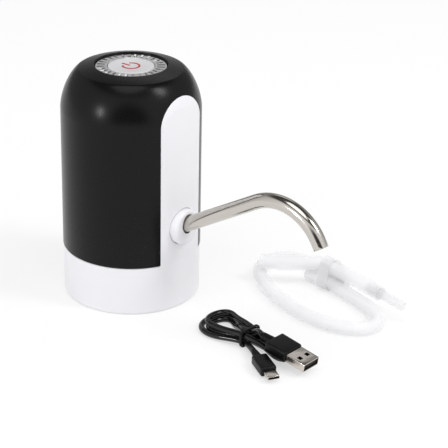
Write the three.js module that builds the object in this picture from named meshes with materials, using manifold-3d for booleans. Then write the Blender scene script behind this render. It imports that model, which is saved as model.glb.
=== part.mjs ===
// Bottle-top water pump: rechargeable dispenser with its intake hose and charging cable laid beside it.
// Millimetres, +Z up, spout towards +X. Heights are measured from the rim that rests on the bench,
// and the whole group is lowered at the end so that the origin is the centre of the bottle seat.
import * as THREE from "three";
import { mergeVertices } from "three/addons/utils/BufferGeometryUtils.js";
import Module from "manifold-3d";

const wasm = await Module();
wasm.setup();

// Counts of sides and steps
const wideSides = 40;
const middleSides = 20;
const smallSides = 10;
const tinySides = 8;
const domeSteps = 6;
const edgeSteps = 3;
const halfTurn = Math.PI;
const fullTurn = 2 * Math.PI;
const quarterTurn = Math.PI / 2;

// Clearances shared by every piece
const gap = 0.3;
const looseGap = 0.4;
const overrun = 2;
const mergeDistance = 1e-4;

// Driving dimensions of the housing
const shellRadius = 37.5;
const bodyHeight = 129;
const seatHeight = 24;
const seatFloor = 3.5;
const baseHeight = seatHeight + seatFloor;
const shellWall = 2.2;
const baseInset = 0.35;
const domeRise = 23.7;
const domeReach = 9.9;
const domeStart = bodyHeight - domeRise;
const crownRadius = shellRadius - domeReach;
const crownDrop = 2.1;
const domeWidthPower = 1.39;
const domeHeightPower = 1.71;
const edgeRound = 1.2;

// Driving dimensions of the white front strip and the spout
const panelSink = 1.5;
const panelCut = 3.6;
const panelThickness = 2.1;
const panelCentre = shellRadius - panelSink;
const panelBend = 62;
const panelPlane = shellRadius - panelCut;
const panelBack = panelPlane - panelThickness;
const spoutHeight = 46.3;
const spoutTilt = THREE.MathUtils.degToRad(30);
const bossRadius = 9.7;
const bossProud = 3.8;
const bossFront = panelCentre + bossProud;
const spoutRadius = 4;
const spoutWall = 0.8;
const spoutBendRadius = 29;
const spoutBend = THREE.MathUtils.degToRad(90);
const spoutReach = 55.4;
const spoutDrop = 3.4;
const spoutInside = 15;

// Driving dimensions of the button
const buttonRadius = 12.3;
const ringOuter = 19;
const buttonSink = 1.1;
const pressTravel = 0.8;

// Driving dimensions of the inner works
const cellRadius = 9.2;
const cellLength = 65;
const cellPlace = [-6, 17];
const motorRadius = 12.2;
const motorLength = 28;
const pumpPlace = [-4, -14];
const pumpRadius = 13.5;
const wallThickness = 2;
const screwRadius = 1.2;
const wireRadius = 0.7;

// Driving dimensions of the hose and the cable
const hoseRadius = 3.75;
const connectorRadius = 4;
const connectorTubeRadius = 2.7;
const cableRadius = 1.6;

// Shape helpers: each returns a bare BufferGeometry

function bare(geometry) {
  const copy = geometry.clone();
  for (const name of Object.keys(copy.attributes)) {
    if (name !== "position") copy.deleteAttribute(name);
  }
  const merged = mergeVertices(copy, mergeDistance);
  const index = merged.index.array;
  const corners = [];
  for (let i = 0; i < index.length; i += 3) {
    const [a, b, c] = [index[i], index[i + 1], index[i + 2]];
    if (a !== b && b !== c && c !== a) corners.push(a, b, c);
  }
  merged.setIndex(corners);
  return outward(merged);
}

function signedVolume(geometry) {
  const place = geometry.attributes.position;
  const index = geometry.index.array;
  const [a, b, c] = [new THREE.Vector3(), new THREE.Vector3(), new THREE.Vector3()];
  let total = 0;
  for (let i = 0; i < index.length; i += 3) {
    a.fromBufferAttribute(place, index[i]);
    b.fromBufferAttribute(place, index[i + 1]);
    c.fromBufferAttribute(place, index[i + 2]);
    total += a.dot(b.cross(c));
  }
  return total;
}

function outward(geometry) {
  if (signedVolume(geometry) < 0) {
    const index = Array.from(geometry.index.array);
    for (let i = 0; i < index.length; i += 3) {
      [index[i], index[i + 1]] = [index[i + 1], index[i]];
    }
    geometry.setIndex(index);
  }
  return geometry;
}

function toManifold(geometry) {
  const clean = bare(geometry);
  return new wasm.Manifold(
    new wasm.Mesh({
      numProp: 3,
      vertProperties: new Float32Array(clean.attributes.position.array),
      triVerts: new Uint32Array(clean.index.array),
    }),
  );
}

function fromManifold(solid) {
  const mesh = solid.getMesh();
  const geometry = new THREE.BufferGeometry();
  geometry.setAttribute("position", new THREE.BufferAttribute(mesh.vertProperties, 3));
  geometry.setIndex(new THREE.BufferAttribute(mesh.triVerts, 1));
  return geometry;
}

function join(...geometries) {
  return fromManifold(geometries.map(toManifold).reduce((whole, next) => whole.add(next)));
}

function cut(body, ...tools) {
  return fromManifold(tools.map(toManifold).reduce((left, tool) => left.subtract(tool), toManifold(body)));
}

function common(...geometries) {
  return fromManifold(geometries.map(toManifold).reduce((shared, next) => shared.intersect(next)));
}

// A solid of revolution about Z from a closed outline of [radius, height] points
function turned(outline, sides) {
  const points = outline.map(([radius, height]) => new THREE.Vector2(radius, height));
  points.push(points[0].clone());
  return new THREE.LatheGeometry(points, sides).rotateX(quarterTurn);
}

function cylinder(radius, bottom, top, sides = smallSides) {
  return turned([[0, bottom], [radius, bottom], [radius, top], [0, top]], sides);
}

function tubeRing(inner, outer, bottom, top, sides = middleSides) {
  return turned([[inner, bottom], [outer, bottom], [outer, top], [inner, top]], sides);
}

function block(x0, x1, y0, y1, z0, z1) {
  const geometry = new THREE.BoxGeometry(x1 - x0, y1 - y0, z1 - z0);
  return geometry.translate((x0 + x1) / 2, (y0 + y1) / 2, (z0 + z1) / 2);
}

// A flat outline in the XY plane, raised from bottom to top
function raised(points, bottom, top) {
  const shape = new THREE.Shape(points.map(([x, y]) => new THREE.Vector2(x, y)));
  const geometry = new THREE.ExtrudeGeometry(shape, { depth: top - bottom, bevelEnabled: false });
  return geometry.translate(0, 0, bottom);
}

// A shape turned about Z is laid along X, its height becoming X
function alongX(geometry) {
  return geometry.rotateY(quarterTurn);
}

// A shape turned about Z is laid on the tilted spout axis, its height measured from the panel centre
function onSpoutAxis(geometry) {
  geometry.rotateY(quarterTurn - spoutTilt);
  return geometry.translate(panelCentre, 0, spoutHeight);
}

function circlePoints(radius, sides) {
  const points = [];
  for (let i = 0; i < sides; i += 1) {
    const angle = (i * fullTurn) / sides;
    points.push(new THREE.Vector2(radius * Math.cos(angle), radius * Math.sin(angle)));
  }
  return points;
}

// A tube along a curve, hollow where an inner radius is given
function tubeAlong(curve, outer, steps, sides, inner = 0) {
  const shape = new THREE.Shape(circlePoints(outer, sides));
  if (inner > 0) shape.holes.push(new THREE.Path(circlePoints(inner, sides)));
  return new THREE.ExtrudeGeometry(shape, { steps, extrudePath: curve, bevelEnabled: false });
}

function curveThrough(points) {
  return new THREE.CatmullRomCurve3(points.map((point) => new THREE.Vector3(...point)), false, "centripetal");
}

function roundedEdge(centreRadius, centreHeight, radius, from, to) {
  const points = [];
  for (let i = 0; i <= edgeSteps; i += 1) {
    const angle = from + ((to - from) * i) / edgeSteps;
    points.push([centreRadius + radius * Math.cos(angle), centreHeight + radius * Math.sin(angle)]);
  }
  return points;
}

// Nodes

const whole = new THREE.Group();
const part = new THREE.Group();
whole.add(part);
part.position.z = -seatHeight;

const finishes = {
  whiteShell: { color: 0xeeeef0, roughness: 0.35, metalness: 0 },
  blackShell: { color: 0x161616, roughness: 0.5, metalness: 0 },
  steel: { color: 0xb9b6b0, roughness: 0.3, metalness: 1 },
  chrome: { color: 0xd0d2d4, roughness: 0.2, metalness: 1 },
  silver: { color: 0xd8d8da, roughness: 0.35, metalness: 0.2 },
  red: { color: 0xb03030, roughness: 0.5, metalness: 0 },
  rubber: { color: 0x222222, roughness: 0.8, metalness: 0 },
  silicone: { color: 0xe6e8ea, roughness: 0.3, metalness: 0 },
  board: { color: 0x1f5b34, roughness: 0.6, metalness: 0 },
  cell: { color: 0x2f6fb0, roughness: 0.4, metalness: 0 },
  nylon: { color: 0xd9d6cc, roughness: 0.6, metalness: 0 },
  cable: { color: 0x121212, roughness: 0.45, metalness: 0 },
  wireRed: { color: 0xb02020, roughness: 0.5, metalness: 0 },
  lens: { color: 0xc8d8e8, roughness: 0.2, metalness: 0 },
};

function node(name, geometry, finish) {
  const mesh = new THREE.Mesh(bare(geometry), new THREE.MeshStandardMaterial(finishes[finish]));
  mesh.name = name;
  part.add(mesh);
  return mesh;
}

// Outlines shared by the housing pieces

// The dome from the straight wall up to the crown, drawn in by a wall thickness
function domeOutline(wall) {
  const reach = shellRadius - crownRadius;
  const rise = bodyHeight - crownDrop - domeStart;
  const points = [];
  for (let i = 0; i <= domeSteps; i += 1) {
    const angle = quarterTurn * (1 - i / domeSteps);
    const across = (reach - wall / 2) * Math.sin(angle) ** (2 / domeWidthPower);
    const up = (rise - wall) * Math.cos(angle) ** (2 / domeHeightPower);
    points.push([crownRadius - wall / 2 + across, domeStart + up]);
  }
  return points;
}

const baseRadius = shellRadius - baseInset;
const shellInner = shellRadius - shellWall;
const baseTop = baseHeight - gap;
const openingHalfWidth = Math.sqrt(shellRadius ** 2 - panelPlane ** 2);
const spigotOuter = shellInner - gap;
const spigotWall = 2;
const spigotHeight = 3.6;
const socketWall = 4.5;
const socketRadius = shellRadius - socketWall;
const recessDepth = 4;
const recessFloor = bodyHeight - recessDepth;
const recessRadius = ringOuter + gap;
const buttonTop = bodyHeight - buttonSink;
const ledgeStep = 1.4;
const ledgeThickness = 2;
const ledgeInner = buttonRadius + ledgeStep;
const ledgeUnder = recessFloor - ledgeThickness;

// Outer solid of the whole body, used to trim the front strip to the dome
function bodySolid() {
  return turned([
    [0, 0],
    [shellRadius, 0],
    ...domeOutline(0),
    [0, bodyHeight - crownDrop],
  ], wideSides);
}

// The arched opening where the plane of the strip meets the domed shell, as [y, z] points
function openingOutline(grow) {
  const right = [[openingHalfWidth + grow, baseHeight - overrun]];
  const steps = 14;
  const reach = shellRadius - crownRadius;
  const topAngle = Math.asin(((panelPlane - crownRadius) / reach) ** (domeWidthPower / 2));
  for (let i = 0; i < steps; i += 1) {
    const angle = quarterTurn + (topAngle - quarterTurn) * Math.sqrt(i / steps);
    const radius = crownRadius + reach * Math.sin(angle) ** (2 / domeWidthPower);
    const rise = (bodyHeight - crownDrop - domeStart) * Math.cos(angle) ** (2 / domeHeightPower);
    const across = Math.sqrt(radius ** 2 - panelPlane ** 2);
    right.push([across + (grow * across) / openingHalfWidth, domeStart + rise + grow]);
  }
  return [...right, ...right.map(([y, z]) => [-y, z]).reverse()];
}

// The gently bent face of the strip in plan, closed behind it or in front of it
function faceBlock(depth, bottom, top) {
  const steps = 12;
  const points = [];
  for (let i = 0; i <= steps; i += 1) {
    const y = shellRadius / 2 * ((2 * i) / steps - 1);
    points.push([panelCentre - panelBend + Math.sqrt(panelBend ** 2 - y ** 2), y]);
  }
  points.push([depth, shellRadius / 2], [depth, -shellRadius / 2]);
  return raised(points, bottom, top);
}

// An outline of [y, z] points laid across X from one depth to another
function acrossX(points, x0, x1) {
  const geometry = raised(points, x0, x1);
  geometry.rotateZ(quarterTurn);
  return geometry.rotateY(quarterTurn);
}

// The strip runs on as a flat scoop that fades out low on the white base
const scoopLow = 12.5;

function scoop() {
  const tool = faceBlock(shellRadius + overrun, 0, baseHeight + overrun);
  const slope = (baseRadius - panelCentre) / (baseHeight - scoopLow);
  const lean = new THREE.Matrix4().set(1, 0, -slope, slope * baseHeight, 0, 1, 0, 0, 0, 0, 1, 0, 0, 0, 0, 1);
  return tool.applyMatrix4(lean);
}

// White lower housing with the socket that drops over the bottle neck
const frameScrewPlaces = [[16, 18], [-22, 0], [11, -20]];
const frameScrewHead = 2.6;
const frameScrewHeadHeight = 1.4;
const frameScrewSink = 1.8;
const nipplePlace = [-13, 0];
const nippleRadius = 3.4;

function screwHole(place, radius, bottom, top) {
  return cylinder(radius, bottom, top, smallSides).translate(place[0], place[1], 0);
}

// Rubber grip inside the socket, ribbed against the bottle neck, its top edge in a groove round the seat
const gripDepth = 5.5;
const gripInner = socketRadius - gripDepth;
const ribDepth = 1.1;
const ribCount = 5;
const gripBottom = 1.2;
const seatGroove = 0.6;

function makeBaseHousing() {
  const outline = [
    [0, seatHeight],
    [gripInner - gap, seatHeight],
    [gripInner - gap, seatHeight + seatGroove],
    [socketRadius, seatHeight + seatGroove],
    [socketRadius, 0],
    ...roundedEdge(baseRadius - edgeRound, edgeRound, edgeRound, -quarterTurn, 0),
    [baseRadius, baseTop],
    [spigotOuter, baseTop],
    [spigotOuter, baseTop + spigotHeight],
    [spigotOuter - spigotWall, baseTop + spigotHeight],
    [spigotOuter - spigotWall, baseTop],
    [0, baseTop],
  ];
  const frontRoom = block(panelBack - spigotWall - gap, shellRadius, -shellRadius, shellRadius,
    baseTop, baseTop + spigotHeight + overrun);
  const holes = frameScrewPlaces.flatMap((place) => [
    screwHole(place, frameScrewHead + looseGap, seatHeight - overrun, seatHeight + frameScrewSink),
    screwHole(place, screwRadius + gap, seatHeight, baseTop + overrun),
  ]);
  const nippleHole = screwHole(nipplePlace, nippleRadius + gap, seatHeight - overrun, baseTop + overrun);
  return cut(turned(outline, wideSides), scoop(), frontRoom, nippleHole, ...holes);
}

function makeNeckSleeve() {
  const outer = socketRadius - gap;
  const top = seatHeight - gap;
  const pitch = (top - gripBottom) / ribCount;
  const outline = [[outer, gripBottom], [outer, top]];
  for (let i = ribCount; i > 0; i -= 1) {
    outline.push([gripInner + ribDepth, gripBottom + pitch * i]);
    outline.push([gripInner, gripBottom + pitch * (i - 1 / 2)]);
  }
  outline.push([gripInner + ribDepth, gripBottom]);
  return turned(outline, middleSides);
}

// Black upper housing: a domed shell open at the front strip, at the button and at the charging port
const portHeight = 39.2;
const portSlotHalfWidth = 5.5;
const portSlotHalfHeight = 2.8;
const lensHeight = 46.5;
const lensRadius = 1.5;

function makeTopHousing() {
  const crown = bodyHeight - crownDrop;
  const innerDome = domeOutline(shellWall).reverse();
  const outline = [
    [shellInner, baseHeight],
    [shellRadius, baseHeight],
    ...domeOutline(0),
    [recessRadius, bodyHeight],
    [recessRadius, recessFloor],
    [ledgeInner, recessFloor],
    [ledgeInner, ledgeUnder],
    [crownRadius - shellWall, crown - shellWall],
    ...innerDome,
  ];
  const frontCut = acrossX(openingOutline(0), panelBack - gap, shellRadius + overrun);
  const slot = acrossX([
    [-portSlotHalfWidth, portHeight - portSlotHalfHeight],
    [portSlotHalfWidth, portHeight - portSlotHalfHeight],
    [portSlotHalfWidth, portHeight + portSlotHalfHeight],
    [-portSlotHalfWidth, portHeight + portSlotHalfHeight],
  ], -shellRadius - overrun, -shellInner + overrun);
  const lensHole = alongX(cylinder(lensRadius + gap, -shellRadius - overrun, -shellInner + overrun, smallSides))
    .translate(0, 0, lensHeight);
  return cut(turned(outline, wideSides), frontCut, slot, lensHole);
}

// White front strip, flush with the shell at its edges and running down over the base
function makeFrontPanel() {
  const plate = common(
    acrossX(openingOutline(-gap), panelBack, shellRadius + overrun),
    faceBlock(0, baseHeight + gap, bodyHeight),
    bodySolid(),
  );
  const hole = alongX(cylinder(bossRadius + gap, 0, shellRadius + overrun, middleSides))
    .translate(0, 0, spoutHeight);
  return cut(plate, hole);
}

// White boss of the spout with its tilted socket, along the spout axis behind the face
const boreRadius = spoutRadius + looseGap;
const bushOuter = 5.3;
const socketOuter = 7.6;
const socketBack = -16;
const lipBack = -2.6;
const sealRadius = 0.55;
const sealPlace = 0.5;
const sealRoom = boreRadius + 2 * sealRadius + gap;
const bossRound = 1.4;
const flangeRadius = 10.8;
const flangeDepth = 3;
const flangeBack = panelBack - flangeDepth;

function makeSpoutBoss() {
  const outline = [
    [0, flangeBack],
    [flangeRadius, flangeBack],
    [flangeRadius, panelBack - gap],
    [bossRadius, panelBack - gap],
    ...roundedEdge(bossRadius - bossRound, bossFront - bossRound, bossRound, 0, quarterTurn),
    [0, bossFront],
  ];
  const ring = alongX(turned(outline, middleSides)).translate(0, 0, spoutHeight);
  const sleeve = cut(
    onSpoutAxis(cylinder(socketOuter, socketBack, sealPlace, middleSides)),
    block(panelBack - gap, bossFront + overrun, -bossRadius, bossRadius, 0, bodyHeight),
  );
  const bore = onSpoutAxis(cylinder(boreRadius, socketBack - overrun, bossFront, middleSides));
  const seat = onSpoutAxis(cylinder(bushOuter + gap, socketBack - overrun, lipBack, middleSides));
  const sealSeat = onSpoutAxis(cylinder(sealRoom, sealPlace - sealRadius - gap / 2,
    sealPlace + sealRadius + gap / 2, middleSides));
  const mouth = onSpoutAxis(cylinder(boreRadius + gap, sealPlace, bossFront, middleSides));
  return cut(join(ring, sleeve), bore, seat, sealSeat, mouth);
}

// Rubber ring that wipes the spout tube at the front of the bore
function makeSpoutSeal() {
  const centre = spoutRadius + gap + sealRadius;
  const sides = 6;
  const outline = circlePoints(sealRadius, sides).map((point) => [centre + point.x, sealPlace + point.y]);
  return onSpoutAxis(turned(outline, middleSides));
}

// Rubber bush in which the tube is pushed, turning in the boss
function makeSpoutBush() {
  return onSpoutAxis(tubeRing(spoutRadius + gap, bushOuter, socketBack + gap, lipBack - gap));
}

// Steel spout: straight rise, one bend and a short drop, all hollow and open at both ends
const spoutStart = -spoutInside;
const spoutStraight = spoutReach - spoutStart;

function spoutPoint(along, up) {
  const x = panelCentre + along * Math.cos(spoutTilt) - up * Math.sin(spoutTilt);
  const z = spoutHeight + along * Math.sin(spoutTilt) + up * Math.cos(spoutTilt);
  return new THREE.Vector3(x, 0, z);
}

class BendCurve extends THREE.Curve {
  getPoint(share) {
    const angle = share * spoutBend;
    return spoutPoint(spoutReach + spoutBendRadius * Math.sin(angle),
      -spoutBendRadius * (1 - Math.cos(angle)));
  }
}

class SpoutCurve extends THREE.Curve {
  getPoint(share) {
    const bendLength = spoutBendRadius * spoutBend;
    const travel = share * (spoutStraight + bendLength + spoutDrop);
    if (travel < spoutStraight) return spoutPoint(spoutStart + travel, 0);
    if (travel < spoutStraight + bendLength) return new BendCurve().getPoint((travel - spoutStraight) / bendLength);
    const rest = travel - spoutStraight - bendLength;
    return spoutPoint(spoutReach + spoutBendRadius, -spoutBendRadius - rest);
  }
}

function makeSpoutTube() {
  const steps = 20;
  return tubeAlong(new SpoutCurve(), spoutRadius, steps, smallSides, spoutRadius - spoutWall);
}

// Elbow behind the boss that carries the water to the spout
const elbowFront = socketBack - gap;
const elbowPlate = 1.7;
const elbowPlateRadius = 6.4;
const elbowReach = 13.2;
const elbowRadius = 3.4;
const barbRadius = 2.4;
const barbLength = 12;

function makeOutletElbow() {
  const plate = onSpoutAxis(cylinder(elbowPlateRadius, elbowFront - elbowPlate, elbowFront, middleSides));
  const stub = onSpoutAxis(cylinder(elbowRadius, elbowFront - elbowReach + elbowRadius,
    elbowFront - elbowPlate / 2, smallSides));
  const end = spoutPoint(elbowFront - elbowReach + elbowRadius, 0);
  const post = cylinder(elbowRadius, end.z - elbowRadius, end.z + elbowRadius * 2, smallSides)
    .translate(end.x, 0, 0);
  const barb = cylinder(barbRadius, end.z, end.z + elbowRadius * 2 + barbLength, smallSides)
    .translate(end.x, 0, 0);
  return join(plate, stub, post, barb);
}

const elbowEnd = spoutPoint(elbowFront - elbowReach + elbowRadius, 0);
const elbowBarbBottom = elbowEnd.z + elbowRadius * 2;

// Bright ring round the button, the light ring below it, and the button itself
const ringThickness = 1.6;
const ringBevel = 0.5;
const lightThickness = 0.7;

function makeButtonRing() {
  const inner = buttonRadius + gap;
  const bottom = buttonTop - ringThickness;
  return turned([
    [inner, bottom],
    [ringOuter, bottom],
    [ringOuter, buttonTop - ringBevel],
    [ringOuter - ringBevel, buttonTop],
    [inner + ringBevel / 2, buttonTop],
    [inner, buttonTop - ringBevel / 2],
  ], wideSides);
}

function makeLightRing() {
  return tubeRing(ledgeInner, ringOuter, recessFloor + gap, recessFloor + gap + lightThickness);
}

const capSkirt = 5.3;
const capFlangeStep = 2.9;
const capFlange = buttonRadius + capFlangeStep;
const capFlangeThickness = 1.2;
const capPlate = 1.8;
const capWall = 0.9;
const stemRadius = 2;
const capChamfer = 0.25;
const capDishRadius = 9;
const capDishDepth = 0.15;
const boardDrop = 15.1;
const boardTop = bodyHeight - boardDrop;
const boardThickness = 1.6;
const switchHeight = 5.1;
const stemEnd = boardTop + gap + switchHeight + pressTravel + gap;

function makeButtonCap() {
  const flangeTop = buttonTop - capSkirt;
  const inner = buttonRadius - capWall;
  return turned([
    [0, stemEnd],
    [stemRadius, stemEnd],
    [stemRadius, buttonTop - capPlate],
    [inner, buttonTop - capPlate],
    [inner, flangeTop - capFlangeThickness],
    [capFlange, flangeTop - capFlangeThickness],
    [capFlange, flangeTop],
    [buttonRadius, flangeTop],
    [buttonRadius, buttonTop - capChamfer],
    [buttonRadius - capChamfer, buttonTop],
    [capDishRadius, buttonTop],
    [capDishRadius, buttonTop - capDishDepth],
    [0, buttonTop - capDishDepth],
  ], middleSides);
}

// Power symbol in the cap's shallow dish: an open ring and a bar that points away from the spout
const symbolRadius = 4.4;
const symbolStroke = 1;
const symbolRise = 0.12;
const symbolLift = 0.02;
const symbolOpening = THREE.MathUtils.degToRad(74);
const symbolBarIn = 0.9;
const symbolBarOut = 6.2;
const symbolBottom = buttonTop - capDishDepth + symbolLift;

function makeSymbolRing() {
  const steps = 20;
  const points = [];
  for (const [radius, back] of [[symbolRadius + symbolStroke / 2, false], [symbolRadius - symbolStroke / 2, true]]) {
    for (let i = 0; i <= steps; i += 1) {
      const share = back ? 1 - i / steps : i / steps;
      const angle = halfTurn + symbolOpening / 2 + (fullTurn - symbolOpening) * share;
      points.push([radius * Math.cos(angle), radius * Math.sin(angle)]);
    }
  }
  return raised(points, symbolBottom, symbolBottom + symbolRise);
}

function makeSymbolBar() {
  return block(-symbolBarOut, -symbolBarIn, -symbolStroke / 2, symbolStroke / 2,
    symbolBottom, symbolBottom + symbolRise);
}

// Inner frame: floor, upright wall, straps for the cell and the motor, and the shelf for the board
const frameFloor = baseTop + gap;
const frameFloorTop = frameFloor + wallThickness;
const frameRadius = spigotOuter - spigotWall - gap;
const wallPlace = 5.2;
const wallX = [-16, 5];
const shelfDrop = 3.9;
const shelfTop = boardTop - shelfDrop;
const shelfHalf = [15, 13];
const strapWall = 1.6;
const strapHeight = 6;
const strapGap = 0.35;
const cellStrapHeights = [42, 78];
const motorStrapHeight = 48;
const frameBossRadius = 3;
const frameBossTop = 36;
const postRadius = 2.6;
const postPlaces = [[-12, -6], [12, -6]];
const boardBottom = boardTop - boardThickness;

function makeInnerFrame() {
  const floor = cylinder(frameRadius, frameFloor, frameFloorTop, wideSides);
  const frontTrim = block(panelBack - spigotWall - gap * 2, shellRadius, -shellRadius, shellRadius,
    frameFloor - overrun, frameFloorTop + overrun);
  const wall = block(wallX[0], wallX[1], wallPlace - wallThickness / 2, wallPlace + wallThickness / 2,
    frameFloorTop - wallThickness / 2, shelfTop);
  const shelf = block(-shelfHalf[0], shelfHalf[0], -shelfHalf[1], shelfHalf[1], shelfTop - wallThickness, shelfTop);
  const posts = postPlaces.map((place) => screwHole(place, postRadius, shelfTop - wallThickness, boardBottom - gap));
  const straps = [];
  const rooms = [];
  for (const height of cellStrapHeights) {
    straps.push(cylinder(cellRadius + strapGap + strapWall, height, height + strapHeight, middleSides)
      .translate(cellPlace[0], cellPlace[1], 0));
  }
  rooms.push(cylinder(cellRadius + strapGap, frameFloorTop, shelfTop - wallThickness, middleSides)
    .translate(cellPlace[0], cellPlace[1], 0));
  straps.push(cylinder(motorRadius + strapGap + strapWall, motorStrapHeight, motorStrapHeight + strapHeight,
    middleSides).translate(pumpPlace[0], pumpPlace[1], 0));
  straps.push(block(pumpPlace[0] - strapHeight / 2, pumpPlace[0] + strapHeight / 2, pumpPlace[1] + motorRadius,
    wallPlace, motorStrapHeight, motorStrapHeight + strapHeight));
  rooms.push(cylinder(motorRadius + strapGap, frameFloorTop, shelfTop - wallThickness, middleSides)
    .translate(pumpPlace[0], pumpPlace[1], 0));
  const bosses = frameScrewPlaces.map((place) => screwHole(place, frameBossRadius, frameFloor, frameBossTop));
  const pilots = frameScrewPlaces.map((place) =>
    screwHole(place, screwRadius + gap, frameFloor - overrun, frameBossTop - frameBossRadius));
  const boardPilots = postPlaces.map((place) =>
    screwHole(place, screwRadius + gap, shelfTop, boardBottom + overrun));
  const nippleRoom = screwHole(nipplePlace, nippleRadius + flangeStep + gap, frameFloor - overrun,
    frameFloorTop + overrun);
  return cut(join(cut(floor, frontTrim), wall, shelf, ...posts, ...straps, ...bosses),
    ...rooms, ...pilots, ...boardPilots, nippleRoom);
}

// Control board under the button with its switch, and the small board of the charging port
const boardClear = 6.6;
const boardRadius = crownRadius - boardClear;
const switchHalf = 3;
const switchBody = 3.5;
const switchPinRadius = 1.7;
const portBoardTop = frameBossTop + gap + boardThickness;
const portBoardDepths = [6.5, 19.5];
const portBoardHalf = 8;
const portDepth = 5.4;
const portHalf = 3.8;
const portTall = 2.8;
const portSheet = 0.4;

function makeControlBoard() {
  const holes = postPlaces.map((place) => screwHole(place, screwRadius + gap, boardBottom - overrun, boardTop + overrun));
  return cut(cylinder(boardRadius, boardBottom, boardTop, middleSides), ...holes);
}

function makeTactSwitch() {
  const bottom = boardTop + gap;
  return join(
    block(-switchHalf, switchHalf, -switchHalf, switchHalf, bottom, bottom + switchBody),
    cylinder(switchPinRadius, bottom, bottom + switchHeight, smallSides),
  );
}

function makeChargeBoard() {
  return block(-shellRadius + portBoardDepths[0], -shellRadius + portBoardDepths[1], -portBoardHalf, portBoardHalf,
    portBoardTop - boardThickness, portBoardTop);
}

function makeChargePort() {
  const bottom = portBoardTop + gap;
  const front = -shellRadius + recessDepth + gap * 2;
  const shell = block(front, front + portDepth, -portHalf, portHalf, bottom, bottom + portTall);
  const room = block(front - overrun, front + portDepth - portSheet * 2, -portHalf + portSheet,
    portHalf - portSheet, bottom + portSheet, bottom + portTall - portSheet);
  return cut(shell, room);
}

function makeIndicatorLens() {
  return alongX(cylinder(lensRadius, -shellRadius + gap / 2, -shellInner + overrun, smallSides))
    .translate(0, 0, lensHeight);
}

// Cell
const cellCapRadius = 3;
const cellCapHeight = 1;
const cellBottom = frameFloorTop + gap;

function makeCell() {
  const top = cellBottom + cellLength;
  return turned([
    [0, cellBottom],
    [cellRadius, cellBottom],
    [cellRadius, top - cellCapHeight],
    [cellCapRadius, top - cellCapHeight],
    [cellCapRadius, top],
    [0, top],
  ], middleSides).translate(cellPlace[0], cellPlace[1], 0);
}

// Motor and diaphragm pump, stacked upright
const padThickness = 2;
const padBottom = frameFloorTop + gap;
const endCapHeight = 2.5;
const endCapBottom = padBottom + padThickness + gap;
const canBottom = endCapBottom + endCapHeight + gap;
const canTop = canBottom + motorLength;
const canWall = 0.8;
const headBottom = canTop + gap;
const headHeight = 14;
const headWall = 2;
const diaphragmThickness = 2;
const diaphragmBottom = headBottom + headHeight + gap;
const valveThickness = 3;
const valveBottom = diaphragmBottom + diaphragmThickness + gap;
const coverThickness = 4.5;
const coverBottom = valveBottom + valveThickness + gap;
const coverTop = coverBottom + coverThickness;
const pumpBarbSpread = 6;
const pumpBarbLength = 6;
const hoseLead = 4.5;
const shaftRadius = 1.15;
const rotorRadius = 9;
const rotorLength = 15;
const camRadius = 4.2;
const camHeight = 5;
const camOffset = 1;
const pumpScrewSpread = 10.5;
const pumpScrewRadius = 0.9;
const pumpScrewHead = 1.9;
const pumpScrewHeadHeight = 1.4;
const stackRadius = pumpRadius - gap / 2;

function atPump(geometry) {
  return geometry.translate(pumpPlace[0], pumpPlace[1], 0);
}

function pumpScrewHoles(bottom, top) {
  return [1, -1].map((side) => cylinder(pumpScrewRadius + gap, bottom, top, tinySides)
    .translate(0, side * pumpScrewSpread, 0));
}

function makeMotorPad() {
  return atPump(tubeRing(shaftRadius * 2, motorRadius, padBottom, padBottom + padThickness));
}

function makeMotorEndCap() {
  const cap = tubeRing(shaftRadius + gap, motorRadius - gap, endCapBottom, endCapBottom + endCapHeight);
  return atPump(cap);
}

function makeMotorCan() {
  const inner = motorRadius - canWall;
  return atPump(turned([
    [inner, canBottom],
    [motorRadius, canBottom],
    [motorRadius, canTop],
    [shaftRadius + gap, canTop],
    [shaftRadius + gap, canTop - canWall],
    [inner, canTop - canWall],
  ], middleSides));
}

function makeMotorRotor() {
  const low = canBottom + motorLength / 4;
  return atPump(turned([
    [0, endCapBottom],
    [shaftRadius, endCapBottom],
    [shaftRadius, low],
    [rotorRadius, low],
    [rotorRadius, low + rotorLength],
    [shaftRadius, low + rotorLength],
    [shaftRadius, headBottom + headWall + camHeight + gap],
    [0, headBottom + headWall + camHeight + gap],
  ], middleSides));
}

function makeCam() {
  const bottom = headBottom + headWall + gap;
  const body = cylinder(camRadius, bottom, bottom + camHeight, middleSides).translate(camOffset, 0, 0);
  const bore = cylinder(shaftRadius + gap, bottom - overrun, bottom + camHeight + overrun, smallSides);
  return atPump(cut(body, bore));
}

function makePumpHead() {
  const inner = camRadius + camOffset * 2;
  const body = turned([
    [shaftRadius + gap, headBottom],
    [stackRadius, headBottom],
    [stackRadius, headBottom + headHeight],
    [inner, headBottom + headHeight],
    [inner, headBottom + headWall],
    [shaftRadius + gap, headBottom + headWall],
  ], middleSides);
  return atPump(cut(body, ...pumpScrewHoles(headBottom + headHeight / 2, headBottom + headHeight + overrun)));
}

function makeDiaphragm() {
  const body = cylinder(stackRadius, diaphragmBottom, diaphragmBottom + diaphragmThickness, middleSides);
  const foot = cylinder(camRadius, diaphragmBottom - headWall, diaphragmBottom, smallSides);
  return atPump(cut(join(body, foot),
    ...pumpScrewHoles(diaphragmBottom - overrun, diaphragmBottom + diaphragmThickness + overrun)));
}

function makeValvePlate() {
  const body = cylinder(stackRadius, valveBottom, valveBottom + valveThickness, middleSides);
  return atPump(cut(body, ...pumpScrewHoles(valveBottom - overrun, valveBottom + valveThickness + overrun)));
}

function makePumpCover() {
  const body = cylinder(stackRadius, coverBottom, coverTop, middleSides);
  const barbs = [1, -1].map((side) => cylinder(barbRadius, coverTop - coverThickness / 2, coverTop + pumpBarbLength,
    smallSides).translate(side * pumpBarbSpread, 0, 0));
  return atPump(cut(join(body, ...barbs), ...pumpScrewHoles(coverBottom - overrun, coverTop + overrun)));
}

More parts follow.
